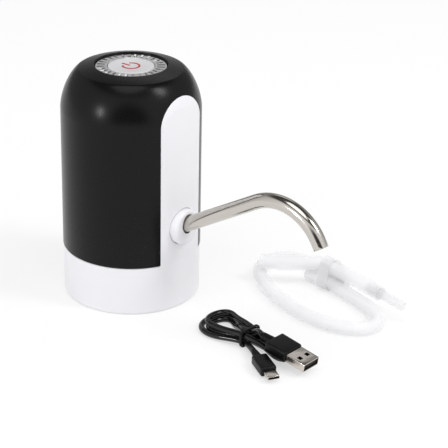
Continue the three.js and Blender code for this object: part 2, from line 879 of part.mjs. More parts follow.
function makeScrew(place, headBottomHeight, headHeightValue, headRadius, shankRadius, length) {
  const direction = Math.sign(length);
  const headTop = headBottomHeight + direction * headHeightValue;
  const tip = headBottomHeight - length;
  return join(
    cylinder(headRadius, Math.min(headBottomHeight, headTop), Math.max(headBottomHeight, headTop), smallSides),
    cylinder(shankRadius, Math.min(tip, headTop), Math.max(tip, headBottomHeight), tinySides),
  ).translate(place[0], place[1], 0);
}

// Inlet nipple through the seat, open to the bottle side, with its gasket
const flangeStep = 1.6;
const nippleFlange = 1.4;
const nippleLow = 8;
const nippleHigh = 6;
const nippleTaper = 1;
const barbWall = 1;

function makeInletNipple() {
  const flangeBottom = baseTop + gap;
  const body = turned([
    [0, seatHeight - nippleLow],
    [barbRadius + gap, seatHeight - nippleLow],
    [nippleRadius, seatHeight - nippleLow + nippleTaper],
    [nippleRadius, flangeBottom],
    [nippleRadius + flangeStep, flangeBottom],
    [nippleRadius + flangeStep, flangeBottom + nippleFlange],
    [barbRadius, flangeBottom + nippleFlange],
    [barbRadius, flangeBottom + nippleFlange + nippleHigh],
    [0, flangeBottom + nippleFlange + nippleHigh],
  ], smallSides);
  const bore = cylinder(barbRadius - barbWall, seatHeight - nippleLow - overrun, seatHeight, tinySides);
  return cut(body, bore).translate(nipplePlace[0], nipplePlace[1], 0);
}

// Inner hoses, clips and wires follow routes chosen by hand
const innerHoseRadius = 3.5;
const innerHoseBore = barbRadius + looseGap;
const clipWall = 0.9;
const clipHeight = 3;
const inletBarb = [pumpPlace[0] - pumpBarbSpread, pumpPlace[1]];
const outletBarb = [pumpPlace[0] + pumpBarbSpread, pumpPlace[1]];
const nippleHoseStart = baseTop + gap + nippleFlange + gap;

const inletHoseRoute = [
  [nipplePlace[0], nipplePlace[1], nippleHoseStart],
  [nipplePlace[0], nipplePlace[1], nippleHoseStart + nippleHigh / 2],
  [nipplePlace[0], nipplePlace[1], nippleHoseStart + nippleHigh],
  [nipplePlace[0], nipplePlace[1], nippleHoseStart + nippleHigh + hoseLead],
  [-16.6, -1.2, 48],
  [-20.3, -4.4, 57],
  [-21.2, -6, 70],
  [-20.9, -8.6, 86],
  [-18, -12, 98],
  [-12.6, -13.6, 102.8],
  [inletBarb[0], inletBarb[1], coverTop + pumpBarbLength + hoseLead],
  [inletBarb[0], inletBarb[1], coverTop + pumpBarbLength],
  [inletBarb[0], inletBarb[1], coverTop + pumpBarbLength / 2],
  [inletBarb[0], inletBarb[1], coverTop + gap],
];

const outletHoseRoute = [
  [outletBarb[0], outletBarb[1], coverTop + gap],
  [outletBarb[0], outletBarb[1], coverTop + pumpBarbLength / 2],
  [outletBarb[0], outletBarb[1], coverTop + pumpBarbLength],
  [outletBarb[0], outletBarb[1], coverTop + pumpBarbLength + hoseLead],
  [4.4, -12.4, 103.2],
  [9, -8, 103],
  [13, -3.5, 99],
  [elbowEnd.x, -0.5, 88],
  [elbowEnd.x, 0, 70],
  [elbowEnd.x, 0, elbowBarbBottom + barbLength + hoseLead],
  [elbowEnd.x, 0, elbowBarbBottom + barbLength],
  [elbowEnd.x, 0, elbowBarbBottom + barbLength / 2],
  [elbowEnd.x, 0, elbowBarbBottom + gap],
];

function makeInnerHose(route) {
  const steps = 18;
  const sides = 8;
  return tubeAlong(curveThrough(route), innerHoseRadius, steps, sides, innerHoseBore);
}

function makeClip(x, y, bottom) {
  const inner = innerHoseRadius + gap;
  return tubeRing(inner, inner + clipWall, bottom, bottom + clipHeight, smallSides).translate(x, y, 0);
}

const cellTop = cellBottom + cellLength;
const boardUnder = boardBottom - gap;
const wireLead = 2;
const wireStep = 1;
const wireClimb = 4;
const wireRun = 10;
const wireClear = 3.2;
const wireSide = cellRadius + wireClear;
const motorRedPlaces = [[8.5, -23.5], [9.5, -24.5], [7, -17]];
const motorBlackPlaces = [[5, -27], [6, -28], [3, -18]];

function motorWireRoute(places) {
  const [start, side, end] = places;
  return [
    [...start, endCapBottom],
    [...side, canBottom + 2 * wireClimb],
    [...side, coverTop],
    [...end, boardUnder - wireClimb],
    [...end, boardUnder],
  ];
}

const wireRoutes = {
  battery_wire_red: [
    [cellPlace[0], cellPlace[1], cellTop + gap],
    [cellPlace[0], cellPlace[1], cellTop + wireLead],
    [cellPlace[0], cellPlace[1] + wireStep, cellTop + wireClimb],
    [cellPlace[0] + wireStep, cellPlace[1] + 2 * wireStep, cellTop + wireRun],
    [cellPlace[0] + 2 * wireStep, cellPlace[1] - wireStep, boardUnder - wireLead],
    [cellPlace[0] + 2 * wireStep, cellPlace[1] - wireStep, boardUnder],
  ],
  battery_wire_black: [
    [cellPlace[0] + wireSide, cellPlace[1] + wireStep, cellBottom],
    [cellPlace[0] + wireSide, cellPlace[1] + wireStep, cellTop - 2 * wireRun],
    [cellPlace[0] + wireSide, cellPlace[1] + wireStep, cellTop + wireClimb],
    [cellPlace[0] + cellRadius, cellPlace[1] - wireStep, boardUnder - wireLead],
    [cellPlace[0] + cellRadius, cellPlace[1] - wireStep, boardUnder],
  ],
  motor_wire_red: motorWireRoute(motorRedPlaces),
  motor_wire_black: motorWireRoute(motorBlackPlaces),
};

function makeWire(route) {
  const steps = 14;
  const sides = 6;
  return tubeAlong(curveThrough(route), wireRadius, steps, sides);
}

// Intake hose: one open loop lying on the bench, its points chosen by hand
const hoseLift = 0.1;
const hoseHeight = hoseRadius + hoseLift;
const tieWidth = 7;
const tieSheet = 0.5;
const tieLift = tieSheet + looseGap;

const hoseRoute = [
  [72, 67.5], [80, 66.3, 0.6], [88, 64.8, 1], [96, 63, 0.4], [104, 61], [112, 58.5], [120, 55.2],
  [127.5, 51], [133, 45.3], [134.5, 38.5], [130.5, 32], [123, 28], [113, 26], [102, 26.2], [91, 28.4],
  [80.5, 31.8], [70, 36.5], [60, 42.5], [51.5, 50], [45.8, 59], [45, 68.5], [50, 76], [58.5, 79.5],
  [68, 79], [77, 76.6, 0.6], [86, 74.4, 1], [95, 73, 1],
].map(([x, y, liftShare = 0]) => [x, y, hoseHeight + tieLift * liftShare]);

// Short connector hose tied on top of the loop, with the stiff tube pushed into its end
const connectorRoute = [
  [51.5, 49.3, 12.4], [62.9, 54.9, 12.5], [74.6, 64.4, 12.7], [80.6, 68.2, 12.8], [86.1, 67.7, 12.8],
  [91.8, 66.9, 12.8], [99.5, 65.5, 12.5], [113.2, 62.9, 11.8], [124.2, 60.3, 11.4],
];
const connectorTubeRoute = [
  [115.5, 62.3, 11.72], [124.2, 60.3, 11.4], [133.2, 58.3, 11.05], [141.0, 56.5, 10.75],
];
const hoseSteps = 48;
const connectorSteps = 10;

function makeIntakeHose() {
  return tubeAlong(curveThrough(hoseRoute), hoseRadius, hoseSteps, tinySides);
}

function makeConnectorHose() {
  const bore = connectorTubeRadius + looseGap;
  return tubeAlong(curveThrough(connectorRoute), connectorRadius, connectorSteps, tinySides, bore);
}

function makeConnectorTube() {
  const steps = 3;
  return tubeAlong(curveThrough(connectorTubeRoute), connectorTubeRadius, steps, tinySides,
    connectorTubeRadius - spoutWall);
}

// Clear band tied round the two strands of the loop and the connector hose above them
const tieMiddle = [86.4, 69.8, hoseHeight + tieLift];
const tieYaw = THREE.MathUtils.degToRad(-7);
const tieHalfSpread = 4.7;
const tieTop = [-2.25, 8.15];

function bandOutline(grow) {
  const reach = hoseRadius + looseGap + grow;
  const topReach = connectorRadius + 2 * gap + grow;
  const steps = 6;
  const points = [];
  const arcs = [
    [tieHalfSpread, 0, reach, -quarterTurn, quarterTurn / 3],
    [...tieTop, topReach, quarterTurn / 3, quarterTurn * 5 / 3],
    [-tieHalfSpread, 0, reach, quarterTurn * 5 / 3, quarterTurn * 3],
  ];
  for (const [across, up, radius, from, to] of arcs) {
    for (let i = 0; i <= steps; i += 1) {
      const angle = from + ((to - from) * i) / steps;
      points.push([across + radius * Math.cos(angle), up + radius * Math.sin(angle)]);
    }
  }
  return points;
}

function makeHoseTie() {
  const outer = acrossX(bandOutline(tieSheet), -tieWidth / 2, tieWidth / 2);
  const inner = acrossX(bandOutline(0), -tieWidth, tieWidth);
  const band = cut(outer, inner);
  band.rotateZ(tieYaw);
  return band.translate(...tieMiddle);
}

// Charging cable: a hank of two and a half loops, drawn in at the tied waist, worked out by a formula.
// The strand runs in at a steady rate in the right lobe. In the left lobe the second pass lies on the other two,
// and the waist is crossed in two layers.
const hankTurns = 2.5;
const hankPitch = 3.9;
const hankLayer = 3.8;
const hankCentre = [92, -13];
const hankYaw = THREE.MathUtils.degToRad(-5);
const hankBend = THREE.MathUtils.degToRad(10);
const hankLobes = { left: { reach: 33, belly: 12.6 }, right: { reach: 30, belly: 9.6 } };
const hankWaist = 4.5;
const waistSoftness = 0.22;
const waistShares = [0, 0.2, 0.1, 0, 1.05, 1.25];
const passShares = [0, 0, 0.15, 0, 1];
const leftBlendShares = [0.1, 0.62];
const rightBlendShares = [0, 0.42];
const climbTurns = [0.84, 0.95];
const descentTurns = [1.56, 1.63];
const returnTurns = [2.43, 2.49];
const cableLift = 0.1;
const cableTieSheet = 0.85;
const cableTieWidth = 1.6;
const waistLift = cableTieSheet + gap;
const stepsPerLoop = 24;
const strandSides = 6;

function eased(from, to, value) {
  const share = THREE.MathUtils.clamp((value - from) / (to - from), 0, 1);
  return share * share * (3 - 2 * share);
}

function hankOutline(angle) {
  const [c, s] = [Math.cos(angle), Math.sin(angle)];
  const lobe = c < 0 ? hankLobes.left : hankLobes.right;
  const spread = Math.sqrt(c * c + waistSoftness * waistSoftness) - waistSoftness;
  return new THREE.Vector2(lobe.reach * c, s * (hankWaist + 2 * lobe.belly * spread));
}

function hankPoint(turn) {
  const angle = -quarterTurn - fullTurn * turn;
  const c = Math.cos(angle);
  const [from, to] = c < 0 ? leftBlendShares : rightBlendShares;
  const lobeShare = eased(from, to, Math.abs(c));
  const pass = passShares[Math.min(Math.floor(2 * turn), passShares.length - 1)];
  const inset = hankPitch * (waistShares[Math.round(2 * turn)] * (1 - lobeShare) + (turn - pass) * lobeShare);
  const step = 1e-3;
  const along = hankOutline(angle - step).sub(hankOutline(angle + step)).normalize();
  const place = hankOutline(angle).add(new THREE.Vector2(along.y, -along.x).multiplyScalar(inset));
  const layer = eased(...climbTurns, turn) - eased(...descentTurns, turn) + eased(...returnTurns, turn);
  const yaw = hankYaw + (hankBend * place.x) / hankLobes.right.reach;
  return new THREE.Vector3(
    hankCentre[0] + Math.cos(yaw) * place.x - Math.sin(yaw) * place.y,
    hankCentre[1] + Math.sin(yaw) * place.x + Math.cos(yaw) * place.y,
    cableRadius + cableLift + waistLift * (1 - lobeShare) + hankLayer * layer,
  );
}

// One unbroken tube with a ring of sides round each point
function strand(points, radius, sides) {
  const positions = [];
  const index = [];
  let side = new THREE.Vector3(0, 0, 1);
  points.forEach((point, i) => {
    const before = points[Math.max(i - 1, 0)];
    const after = points[Math.min(i + 1, points.length - 1)];
    const along = after.clone().sub(before).normalize();
    side = side.clone().addScaledVector(along, -side.dot(along)).normalize();
    const across = along.clone().cross(side);
    for (let k = 0; k < sides; k += 1) {
      const angle = (k * fullTurn) / sides;
      const corner = point.clone()
        .addScaledVector(side, radius * Math.cos(angle))
        .addScaledVector(across, radius * Math.sin(angle));
      positions.push(corner.x, corner.y, corner.z);
    }
  });
  for (let i = 0; i + 1 < points.length; i += 1) {
    for (let k = 0; k < sides; k += 1) {
      const [a, b] = [i * sides + k, i * sides + ((k + 1) % sides)];
      index.push(a, b, a + sides, b, b + sides, a + sides);
    }
  }
  const last = (points.length - 1) * sides;
  for (let k = 1; k + 1 < sides; k += 1) {
    index.push(0, k + 1, k, last, last + k, last + k + 1);
  }
  const geometry = new THREE.BufferGeometry();
  geometry.setAttribute("position", new THREE.Float32BufferAttribute(positions, 3));
  geometry.setIndex(index);
  return geometry;
}

function hankPoints() {
  const count = hankTurns * stepsPerLoop;
  const points = [];
  for (let i = 0; i <= count; i += 1) points.push(hankPoint((hankTurns * i) / count));
  return points;
}

function leastGap(points, radius) {
  const skipShare = 6;
  const skip = radius * skipShare;
  const travel = [0];
  for (let i = 1; i < points.length; i += 1) travel.push(travel[i - 1] + points[i].distanceTo(points[i - 1]));
  let least = Infinity;
  for (let i = 0; i < points.length; i += 1) {
    for (let k = i + 1; k < points.length; k += 1) {
      if (travel[k] - travel[i] > skip) least = Math.min(least, points[i].distanceTo(points[k]));
    }
  }
  return least - 2 * radius;
}

const hank = hankPoints();
console.log(`cable hank: least gap to itself ${leastGap(hank, cableRadius).toFixed(2)} mm`);

// Plugs of the cable, each made along +X from the point where the cord enters
const usbBody = { length: 13.5, width: 13.8, height: 6, corner: 1.2, relief: 6.5, reliefRadius: 2.6 };
const usbShell = { length: 11.8, width: 12, height: 4.5, sheet: 0.4, tongue: 1.8 };
const usbPlace = [123.4, -18, 7.4];
const usbTurn = { yaw: THREE.MathUtils.degToRad(-3), dip: THREE.MathUtils.degToRad(8.8) };
const microBody = { length: 14, width: 8.4, height: 5.2, corner: 1, relief: 6, reliefRadius: 2.2 };
const microShell = { length: 6.2, width: 6.4, height: 1.9, sheet: 0.3 };
const microPlace = [120.8, -34.5, 3.3];
const microTurn = { yaw: THREE.MathUtils.degToRad(-31), dip: THREE.MathUtils.degToRad(2) };

function placePlug(geometry, turn, place) {
  return geometry.rotateY(turn.dip).rotateZ(turn.yaw).translate(...place);
}

function plugBody(size) {
  const corner = size.corner;
  const half = [size.width / 2, size.height / 2];
  const outline = [
    [-half[0] + corner, -half[1]], [half[0] - corner, -half[1]], [half[0], -half[1] + corner],
    [half[0], half[1] - corner], [half[0] - corner, half[1]], [-half[0] + corner, half[1]],
    [-half[0], half[1] - corner], [-half[0], -half[1] + corner],
  ];
  const body = acrossX(outline, -size.length, 0);
  const relief = alongX(cylinder(size.reliefRadius, -size.length - size.relief, -size.length / 2, smallSides));
  return join(body, relief);
}

const plugDepthShare = 0.8;

function plugShell(size) {
  const [halfWidth, halfHeight] = [size.width / 2, size.height / 2];
  const shell = block(gap, size.length, -halfWidth, halfWidth, -halfHeight, halfHeight);
  const room = block(size.length * (1 - plugDepthShare), size.length + overrun, -halfWidth + size.sheet,
    halfWidth - size.sheet, -halfHeight + size.sheet, halfHeight - size.sheet);
  return cut(shell, room);
}

const contactHalf = 1.25;
const contactSpread = 2.8;
const contactBack = 5.2;
const tongueSink = 1;

function makeUsbShell() {
  const windows = [1, -1].map((side) => block(contactBack, contactBack + 2 * contactHalf,
    side * contactSpread - contactHalf, side * contactSpread + contactHalf, 0, usbShell.height));
  return cut(plugShell(usbShell), ...windows);
}

function makeUsbTongue() {
  const halfWidth = usbShell.width / 2 - usbShell.sheet - gap;
  const bottom = -usbShell.height / 2 + usbShell.sheet + gap;
  return block(usbShell.length * (1 - plugDepthShare) + gap, usbShell.length - tongueSink, -halfWidth, halfWidth,
    bottom, bottom + usbShell.tongue);
}

// Free stretches of the cable between the waist and each plug
function plugEntry(size, turn, place, back = 0) {
  const entry = new THREE.Vector3(-size.length - size.relief - gap - back, 0, 0);
  entry.applyAxisAngle(new THREE.Vector3(0, 1, 0), turn.dip);
  entry.applyAxisAngle(new THREE.Vector3(0, 0, 1), turn.yaw);
  return entry.add(new THREE.Vector3(...place)).toArray();
}

function stretchPoints(end, near, middle, size, plugTurn, place) {
  const out = end.clone().sub(near).normalize();
  const start = end.clone().addScaledVector(out, gap);
  const lead = end.clone().addScaledVector(out, cableRadius);
  return [start.toArray(), lead.toArray(), ...middle,
    plugEntry(size, plugTurn, place, cableRadius), plugEntry(size, plugTurn, place)];
}

const stretchSteps = 8;
const stretchSides = 8;
const usbRise = [[94.5, -13.0, 7.7], [96.6, -13.2, 9.3], [98.8, -14.2, 10.3], [101, -15.7, 10.6]];

function makeMicroStretch() {
  const points = stretchPoints(hank[0], hank[1], [], microBody, microTurn, microPlace);
  return tubeAlong(curveThrough(points), cableRadius, stretchSteps, stretchSides);
}

function makeUsbStretch() {
  const points = stretchPoints(hank.at(-1), hank.at(-2), usbRise, usbBody, usbTurn, usbPlace);
  return tubeAlong(curveThrough(points), cableRadius, stretchSteps, stretchSides);
}

// Rubber tie round the waist of the hank
function tieOutline(grow) {
  const halfWidth = hankWaist + cableRadius + gap + grow;
  const bottom = -cableRadius - gap - grow;
  const top = hankLayer + cableRadius + gap + grow;
  const corner = cableRadius + grow;
  const steps = 4;
  const points = [];
  const corners = [
    [halfWidth - corner, bottom + corner, -quarterTurn],
    [halfWidth - corner, top - corner, 0],
    [-halfWidth + corner, top - corner, quarterTurn],
    [-halfWidth + corner, bottom + corner, halfTurn],
  ];
  for (const [across, up, from] of corners) {
    for (let i = 0; i <= steps; i += 1) {
      const angle = from + (quarterTurn * i) / steps;
      points.push([across + corner * Math.cos(angle), up + corner * Math.sin(angle)]);
    }
  }
  return points;
}

function makeCableTie() {
  const outer = acrossX(tieOutline(cableTieSheet), -cableTieWidth / 2, cableTieWidth / 2);
  const inner = acrossX(tieOutline(0), -cableTieWidth, cableTieWidth);
  const band = cut(outer, inner);
  band.rotateZ(hankYaw);
  return band.translate(hankCentre[0], hankCentre[1], cableRadius + cableLift + waistLift);
}

// Assembly

node("base_housing", makeBaseHousing(), "whiteShell");
node("neck_sleeve", makeNeckSleeve(), "rubber");
node("top_housing", makeTopHousing(), "blackShell");
node("front_panel", makeFrontPanel(), "whiteShell");
node("spout_boss", makeSpoutBoss(), "whiteShell");
node("spout_seal", makeSpoutSeal(), "rubber");
node("spout_bush", makeSpoutBush(), "rubber");
node("spout_tube", makeSpoutTube(), "steel");
node("outlet_elbow", makeOutletElbow(), "nylon");
node("button_ring", makeButtonRing(), "chrome");
node("light_ring", makeLightRing(), "lens");
node("button_cap", makeButtonCap(), "silver");
node("power_symbol_ring", makeSymbolRing(), "red");
node("power_symbol_bar", makeSymbolBar(), "red");
node("inner_frame", makeInnerFrame(), "nylon");
node("control_board", makeControlBoard(), "board");
node("tact_switch", makeTactSwitch(), "blackShell");
node("charge_board", makeChargeBoard(), "board");
node("charge_port", makeChargePort(), "steel");
node("indicator_lens", makeIndicatorLens(), "lens");
node("battery_cell", makeCell(), "cell");
node("motor_pad", makeMotorPad(), "rubber");
node("motor_end_cap", makeMotorEndCap(), "blackShell");
node("motor_can", makeMotorCan(), "steel");
node("motor_rotor", makeMotorRotor(), "steel");
node("eccentric_cam", makeCam(), "nylon");
node("pump_head", makePumpHead(), "nylon");
node("pump_diaphragm", makeDiaphragm(), "rubber");
node("pump_valve_plate", makeValvePlate(), "nylon");
node("pump_cover", makePumpCover(), "nylon");
node("inlet_nipple", makeInletNipple(), "nylon");
node("inlet_hose", makeInnerHose(inletHoseRoute), "silicone");
node("outlet_hose", makeInnerHose(outletHoseRoute), "silicone");
node("inlet_clip", makeClip(inletBarb[0], inletBarb[1], coverTop + clipHeight), "steel");
node("outlet_clip", makeClip(elbowEnd.x, 0, elbowBarbBottom + clipHeight * 2), "steel");

frameScrewPlaces.forEach((place, i) => {
  const headTop = seatHeight + frameScrewSink - gap;
  node(`frame_screw_${i + 1}`, makeScrew(place, headTop, frameScrewHeadHeight, frameScrewHead, screwRadius,
    -(frameBossTop - frameBossRadius - gap - headTop)), "steel");
});

postPlaces.forEach((place, i) => {
  node(`board_screw_${i + 1}`, makeScrew(place, boardTop + gap, pumpScrewHeadHeight, pumpScrewHead, screwRadius,
    boardTop + gap - shelfTop - gap), "steel");
});

[1, -1].forEach((side, i) => {
  const place = [pumpPlace[0], pumpPlace[1] + side * pumpScrewSpread];
  node(`pump_screw_${i + 1}`, makeScrew(place, coverTop + gap, pumpScrewHeadHeight, pumpScrewHead, pumpScrewRadius,
    coverTop + gap - headBottom - headHeight / 2 - gap), "steel");
});

for (const [name, route] of Object.entries(wireRoutes)) {
  node(name, makeWire(route), name.endsWith("red") ? "wireRed" : "rubber");
}

node("intake_hose", makeIntakeHose(), "silicone");
node("connector_hose", makeConnectorHose(), "silicone");
node("connector_tube", makeConnectorTube(), "silicone");
node("hose_tie", makeHoseTie(), "silicone");
node("cable_hank", strand(hank, cableRadius, strandSides), "cable");
node("cable_to_micro_plug", makeMicroStretch(), "cable");
node("cable_to_usb_plug", makeUsbStretch(), "cable");
node("cable_tie", makeCableTie(), "cable");
node("usb_plug_body", placePlug(plugBody(usbBody), usbTurn, usbPlace), "cable");
node("usb_plug_shell", placePlug(makeUsbShell(), usbTurn, usbPlace), "chrome");
node("usb_plug_tongue", placePlug(makeUsbTongue(), usbTurn, usbPlace), "whiteShell");
node("micro_plug_body", placePlug(plugBody(microBody), microTurn, microPlace), "cable");
node("micro_plug_shell", placePlug(plugShell(microShell), microTurn, microPlace), "chrome");

export default whole;
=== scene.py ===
import math

import bmesh
import bpy
from mathutils import Matrix, Vector


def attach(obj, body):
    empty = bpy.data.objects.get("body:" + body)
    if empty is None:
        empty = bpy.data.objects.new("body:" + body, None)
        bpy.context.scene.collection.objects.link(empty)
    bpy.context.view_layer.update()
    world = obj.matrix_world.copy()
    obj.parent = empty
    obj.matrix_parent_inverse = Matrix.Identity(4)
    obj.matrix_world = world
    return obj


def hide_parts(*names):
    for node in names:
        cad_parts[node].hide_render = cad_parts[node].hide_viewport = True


bl_info = {
    "name": "Bottle-top water pump",
    "version": (1, 0, 0),
    "blender": (4, 5, 0),
    "location": "View3D > Sidebar > Water Pump",
    "description": "Dresses the packed model of a bottle-top water pump with its hose and charging cable",
    "category": "Object",
}

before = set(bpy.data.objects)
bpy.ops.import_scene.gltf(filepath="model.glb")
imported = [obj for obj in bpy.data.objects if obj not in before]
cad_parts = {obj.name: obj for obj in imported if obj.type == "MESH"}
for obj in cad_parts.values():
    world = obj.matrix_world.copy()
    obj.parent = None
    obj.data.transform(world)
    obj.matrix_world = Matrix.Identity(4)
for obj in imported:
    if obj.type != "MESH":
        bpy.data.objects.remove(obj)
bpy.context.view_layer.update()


def mm(value):
    return value / 1000


# Heights below are measured from the rim that rests on the bench; finished pieces are lowered by this much
SEAT_HEIGHT = mm(24)
GAP = mm(0.3)
LOOSE_GAP = mm(0.4)
OVERRUN = mm(2)
MERGE = mm(0.001)
SLIVER = MERGE / 10
PLANE_TOUCH = MERGE / 100

# Smoothness
WIDE_SIDES = 160
MIDDLE_SIDES = 72
SMALL_SIDES = 32
CORD_SIDES = 32
FILLET_STEPS = 5
DOME_STEPS = 28
FINE_STEPS = 4
ROUND_PROFILE = 0.5

# An edge that turns by more than this is rounded (corner, bevel, rim) or drawn sharp (smooth, facet)
CORNER_TURN = math.radians(20)
BEVEL_TURN = math.radians(35)
RIM_TURN = math.radians(60)
SMOOTH_TURN = math.radians(30)
FACET_TURN = math.radians(6)

# Housing
SHELL_RADIUS = mm(37.5)
BODY_HEIGHT = mm(129)
BASE_HEIGHT = mm(27.5)
SHELL_WALL = mm(2.2)
BASE_INSET = mm(0.35)
DOME_START = mm(105.3)
CROWN_RADIUS = mm(27.6)
CROWN_DROP = mm(2.1)
DOME_WIDTH_POWER = 1.39
DOME_HEIGHT_POWER = 1.71
EDGE_ROUND = mm(1.2)
SOCKET_RADIUS = mm(33)
SPIGOT_WALL = mm(2)
SPIGOT_HEIGHT = mm(3.6)

# Front strip and spout
PANEL_CENTRE = mm(36)
PANEL_BEND = mm(62)
PANEL_PLANE = mm(33.9)
PANEL_BACK = mm(31.8)
SCOOP_LOW = mm(12.5)
SPOUT_HEIGHT = mm(46.3)
SPOUT_TILT = math.radians(30)
BOSS_RADIUS = mm(9.7)
BOSS_FRONT = mm(39.8)
SPOUT_RADIUS = mm(4)
SPOUT_WALL = mm(0.8)
SPOUT_BEND_RADIUS = mm(29)
SPOUT_BEND = math.radians(90)
SPOUT_REACH = mm(55.4)
SPOUT_DROP = mm(3.4)
SPOUT_INSIDE = mm(15)

# Button
BUTTON_RADIUS = mm(12.3)
RING_OUTER = mm(19)
BUTTON_SINK = mm(1.1)
RECESS_DEPTH = mm(4)

# Hose and cable
HOSE_RADIUS = mm(3.75)
HOSE_BORE = mm(2.5)
CONNECTOR_RADIUS = mm(4)
CONNECTOR_TUBE_RADIUS = mm(2.7)
CONNECTOR_TUBE_WALL = mm(0.8)
CABLE_RADIUS = mm(1.6)

QUARTER = math.pi / 2
TURN = 2 * math.pi


def linear(hex_colour):
    """An sRGB hex colour as the linear colour that the shaders take."""
    shares = [int(hex_colour[i:i + 2], 16) / 255 for i in (1, 3, 5)]
    return tuple(s / 12.92 if s <= 0.04045 else ((s + 0.055) / 1.055) ** 2.4 for s in shares) + (1.0,)


def length_property(name, description, default):
    return bpy.props.FloatProperty(name=name, description=description, default=default, min=0,
                                   unit="LENGTH", subtype="DISTANCE", precision=5)


def colour_property(name, description, hex_colour):
    return bpy.props.FloatVectorProperty(name=name, description=description, default=linear(hex_colour),
                                         size=4, min=0, max=1, subtype="COLOR")


class PumpSizes(bpy.types.PropertyGroup):
    shell_radius: length_property("Shell radius", "Outer radius of the black shell", SHELL_RADIUS)
    body_height: length_property("Body height", "Height of the rim above the bench", BODY_HEIGHT)
    base_height: length_property("Base height", "Height of the white base", BASE_HEIGHT)
    button_radius: length_property("Button radius", "Radius of the round button", BUTTON_RADIUS)
    ring_radius: length_property("Ring radius", "Outer radius of the bright ring", RING_OUTER)
    spout_radius: length_property("Spout radius", "Outer radius of the steel spout", SPOUT_RADIUS)
    spout_bend_radius: length_property("Spout bend radius", "Radius of the spout's bend", SPOUT_BEND_RADIUS)
    hose_radius: length_property("Hose radius", "Outer radius of the intake hose", HOSE_RADIUS)
    cable_radius: length_property("Cable radius", "Outer radius of the charging cable", CABLE_RADIUS)


class PumpColours(bpy.types.PropertyGroup):
    white_abs: colour_property("White ABS", "Base, front strip and boss", "#E9E9EC")
    black_abs: colour_property("Black ABS", "Domed upper shell", "#0E0E0F")
    steel: colour_property("Steel", "Spout tube", "#CDC8C1")
    chrome: colour_property("Chrome", "Ring round the button", "#F8F8F9")
    cap_silver: colour_property("Cap", "Button cap", "#DCDCDE")
    symbol_red: colour_property("Symbol", "Power symbol", "#B22A2C")
    silicone: colour_property("Silicone", "Intake hose", "#FCFCFD")
    cable_black: colour_property("Cable", "Charging cable and its plugs", "#0A0A0B")
    rubber_black: colour_property("Rubber", "Seals and neck sleeve", "#17171A")
    floor_white: colour_property("Floor", "Floor and background", "#F4F4F5")


def sizes():
    return bpy.context.scene.pump_sizes


def colours():
    return bpy.context.scene.pump_colours


# Outlines: [radius, height, fillet] corners become [radius, height] points

def filleted(corners):
    """The outline with each corner's fillet drawn as a short arc."""
    points = []
    count = len(corners)
    for i, corner in enumerate(corners):
        here = Vector(corner[:2])
        fillet = corner[2] if len(corner) > 2 else 0
        if fillet == 0:
            points.append(tuple(here))
            continue
        before = (Vector(corners[(i - 1) % count][:2]) - here).normalized()
        after = (Vector(corners[(i + 1) % count][:2]) - here).normalized()
        half = before.angle(after) / 2
        middle = here + (before + after).normalized() * (fillet / math.sin(half))
        start = here + before * (fillet / math.tan(half)) - middle
        end = here + after * (fillet / math.tan(half)) - middle
        for k in range(FILLET_STEPS + 1):
            share = k / FILLET_STEPS
            points.append(tuple(middle + start.slerp(end, share) * fillet))
    return points


def dome_outline(wall=0.0, reverse=False):
    """The dome from the straight wall up to the crown, drawn in by a wall thickness."""
    reach = sizes().shell_radius - CROWN_RADIUS
    rise = sizes().body_height - CROWN_DROP - DOME_START
    points = []
    for i in range(DOME_STEPS + 1):
        angle = QUARTER * (1 - i / DOME_STEPS)
        across = (reach - wall / 2) * math.sin(angle) ** (2 / DOME_WIDTH_POWER)
        up = (rise - wall) * math.cos(angle) ** (2 / DOME_HEIGHT_POWER)
        points.append((CROWN_RADIUS - wall / 2 + across, DOME_START + up))
    return points[::-1] if reverse else points


def arc_points(across, up, radius, start, end, steps):
    return [(across + radius * math.cos(start + (end - start) * i / steps),
             up + radius * math.sin(start + (end - start) * i / steps)) for i in range(steps + 1)]


# Meshes: each function returns a bmesh

def lathe(outline, sides):
    """The closed outline turned once about Z."""
    bm = bmesh.new()
    verts = [bm.verts.new((radius, 0, height)) for radius, height in outline]
    edges = [bm.edges.new(pair) for pair in zip(verts, verts[1:] + verts[:1])]
    bmesh.ops.spin(bm, geom=verts + edges, cent=(0, 0, 0), axis=(0, 0, 1), dvec=(0, 0, 0), angle=TURN,
                   steps=sides, use_merge=True, use_duplicate=False)
    bmesh.ops.remove_doubles(bm, verts=bm.verts, dist=MERGE)
    bmesh.ops.dissolve_degenerate(bm, edges=bm.edges, dist=SLIVER)
    bmesh.ops.recalc_face_normals(bm, faces=bm.faces)
    return bm


def drum(radius, bottom, top, sides):
    bm = bmesh.new()
    bmesh.ops.create_cone(bm, cap_ends=True, segments=sides, radius1=radius, radius2=radius,
                          depth=top - bottom)
    bmesh.ops.translate(bm, verts=bm.verts, vec=(0, 0, (top + bottom) / 2))
    return bm


def slab(low, high):
    low, high = Vector(low), Vector(high)
    bm = bmesh.new()
    bmesh.ops.create_cube(bm, size=1)
    bmesh.ops.scale(bm, verts=bm.verts, vec=high - low)
    bmesh.ops.translate(bm, verts=bm.verts, vec=(low + high) / 2)
    return bm


def sharp_edges(bm, turn):
    return [e for e in bm.edges if len(e.link_faces) == 2 and e.calc_face_angle(0) > turn]


def bevelled(bm, edges, width, segments=3):
    bmesh.ops.bevel(bm, geom=edges, offset=width, offset_type="OFFSET", affect="EDGES", segments=segments,
                    profile=ROUND_PROFILE, material=-1, clamp_overlap=True)
    return bm


def softened(bm, width, segments=3):
    return bevelled(bm, sharp_edges(bm, BEVEL_TURN), width, segments)


def turned(bm, matrix):
    bmesh.ops.transform(bm, matrix=matrix, verts=bm.verts)
    return bm


def moved(bm, place):
    return turned(bm, Matrix.Translation(place))


def along_x(bm):
    return turned(bm, Matrix.Rotation(QUARTER, 4, "Y"))


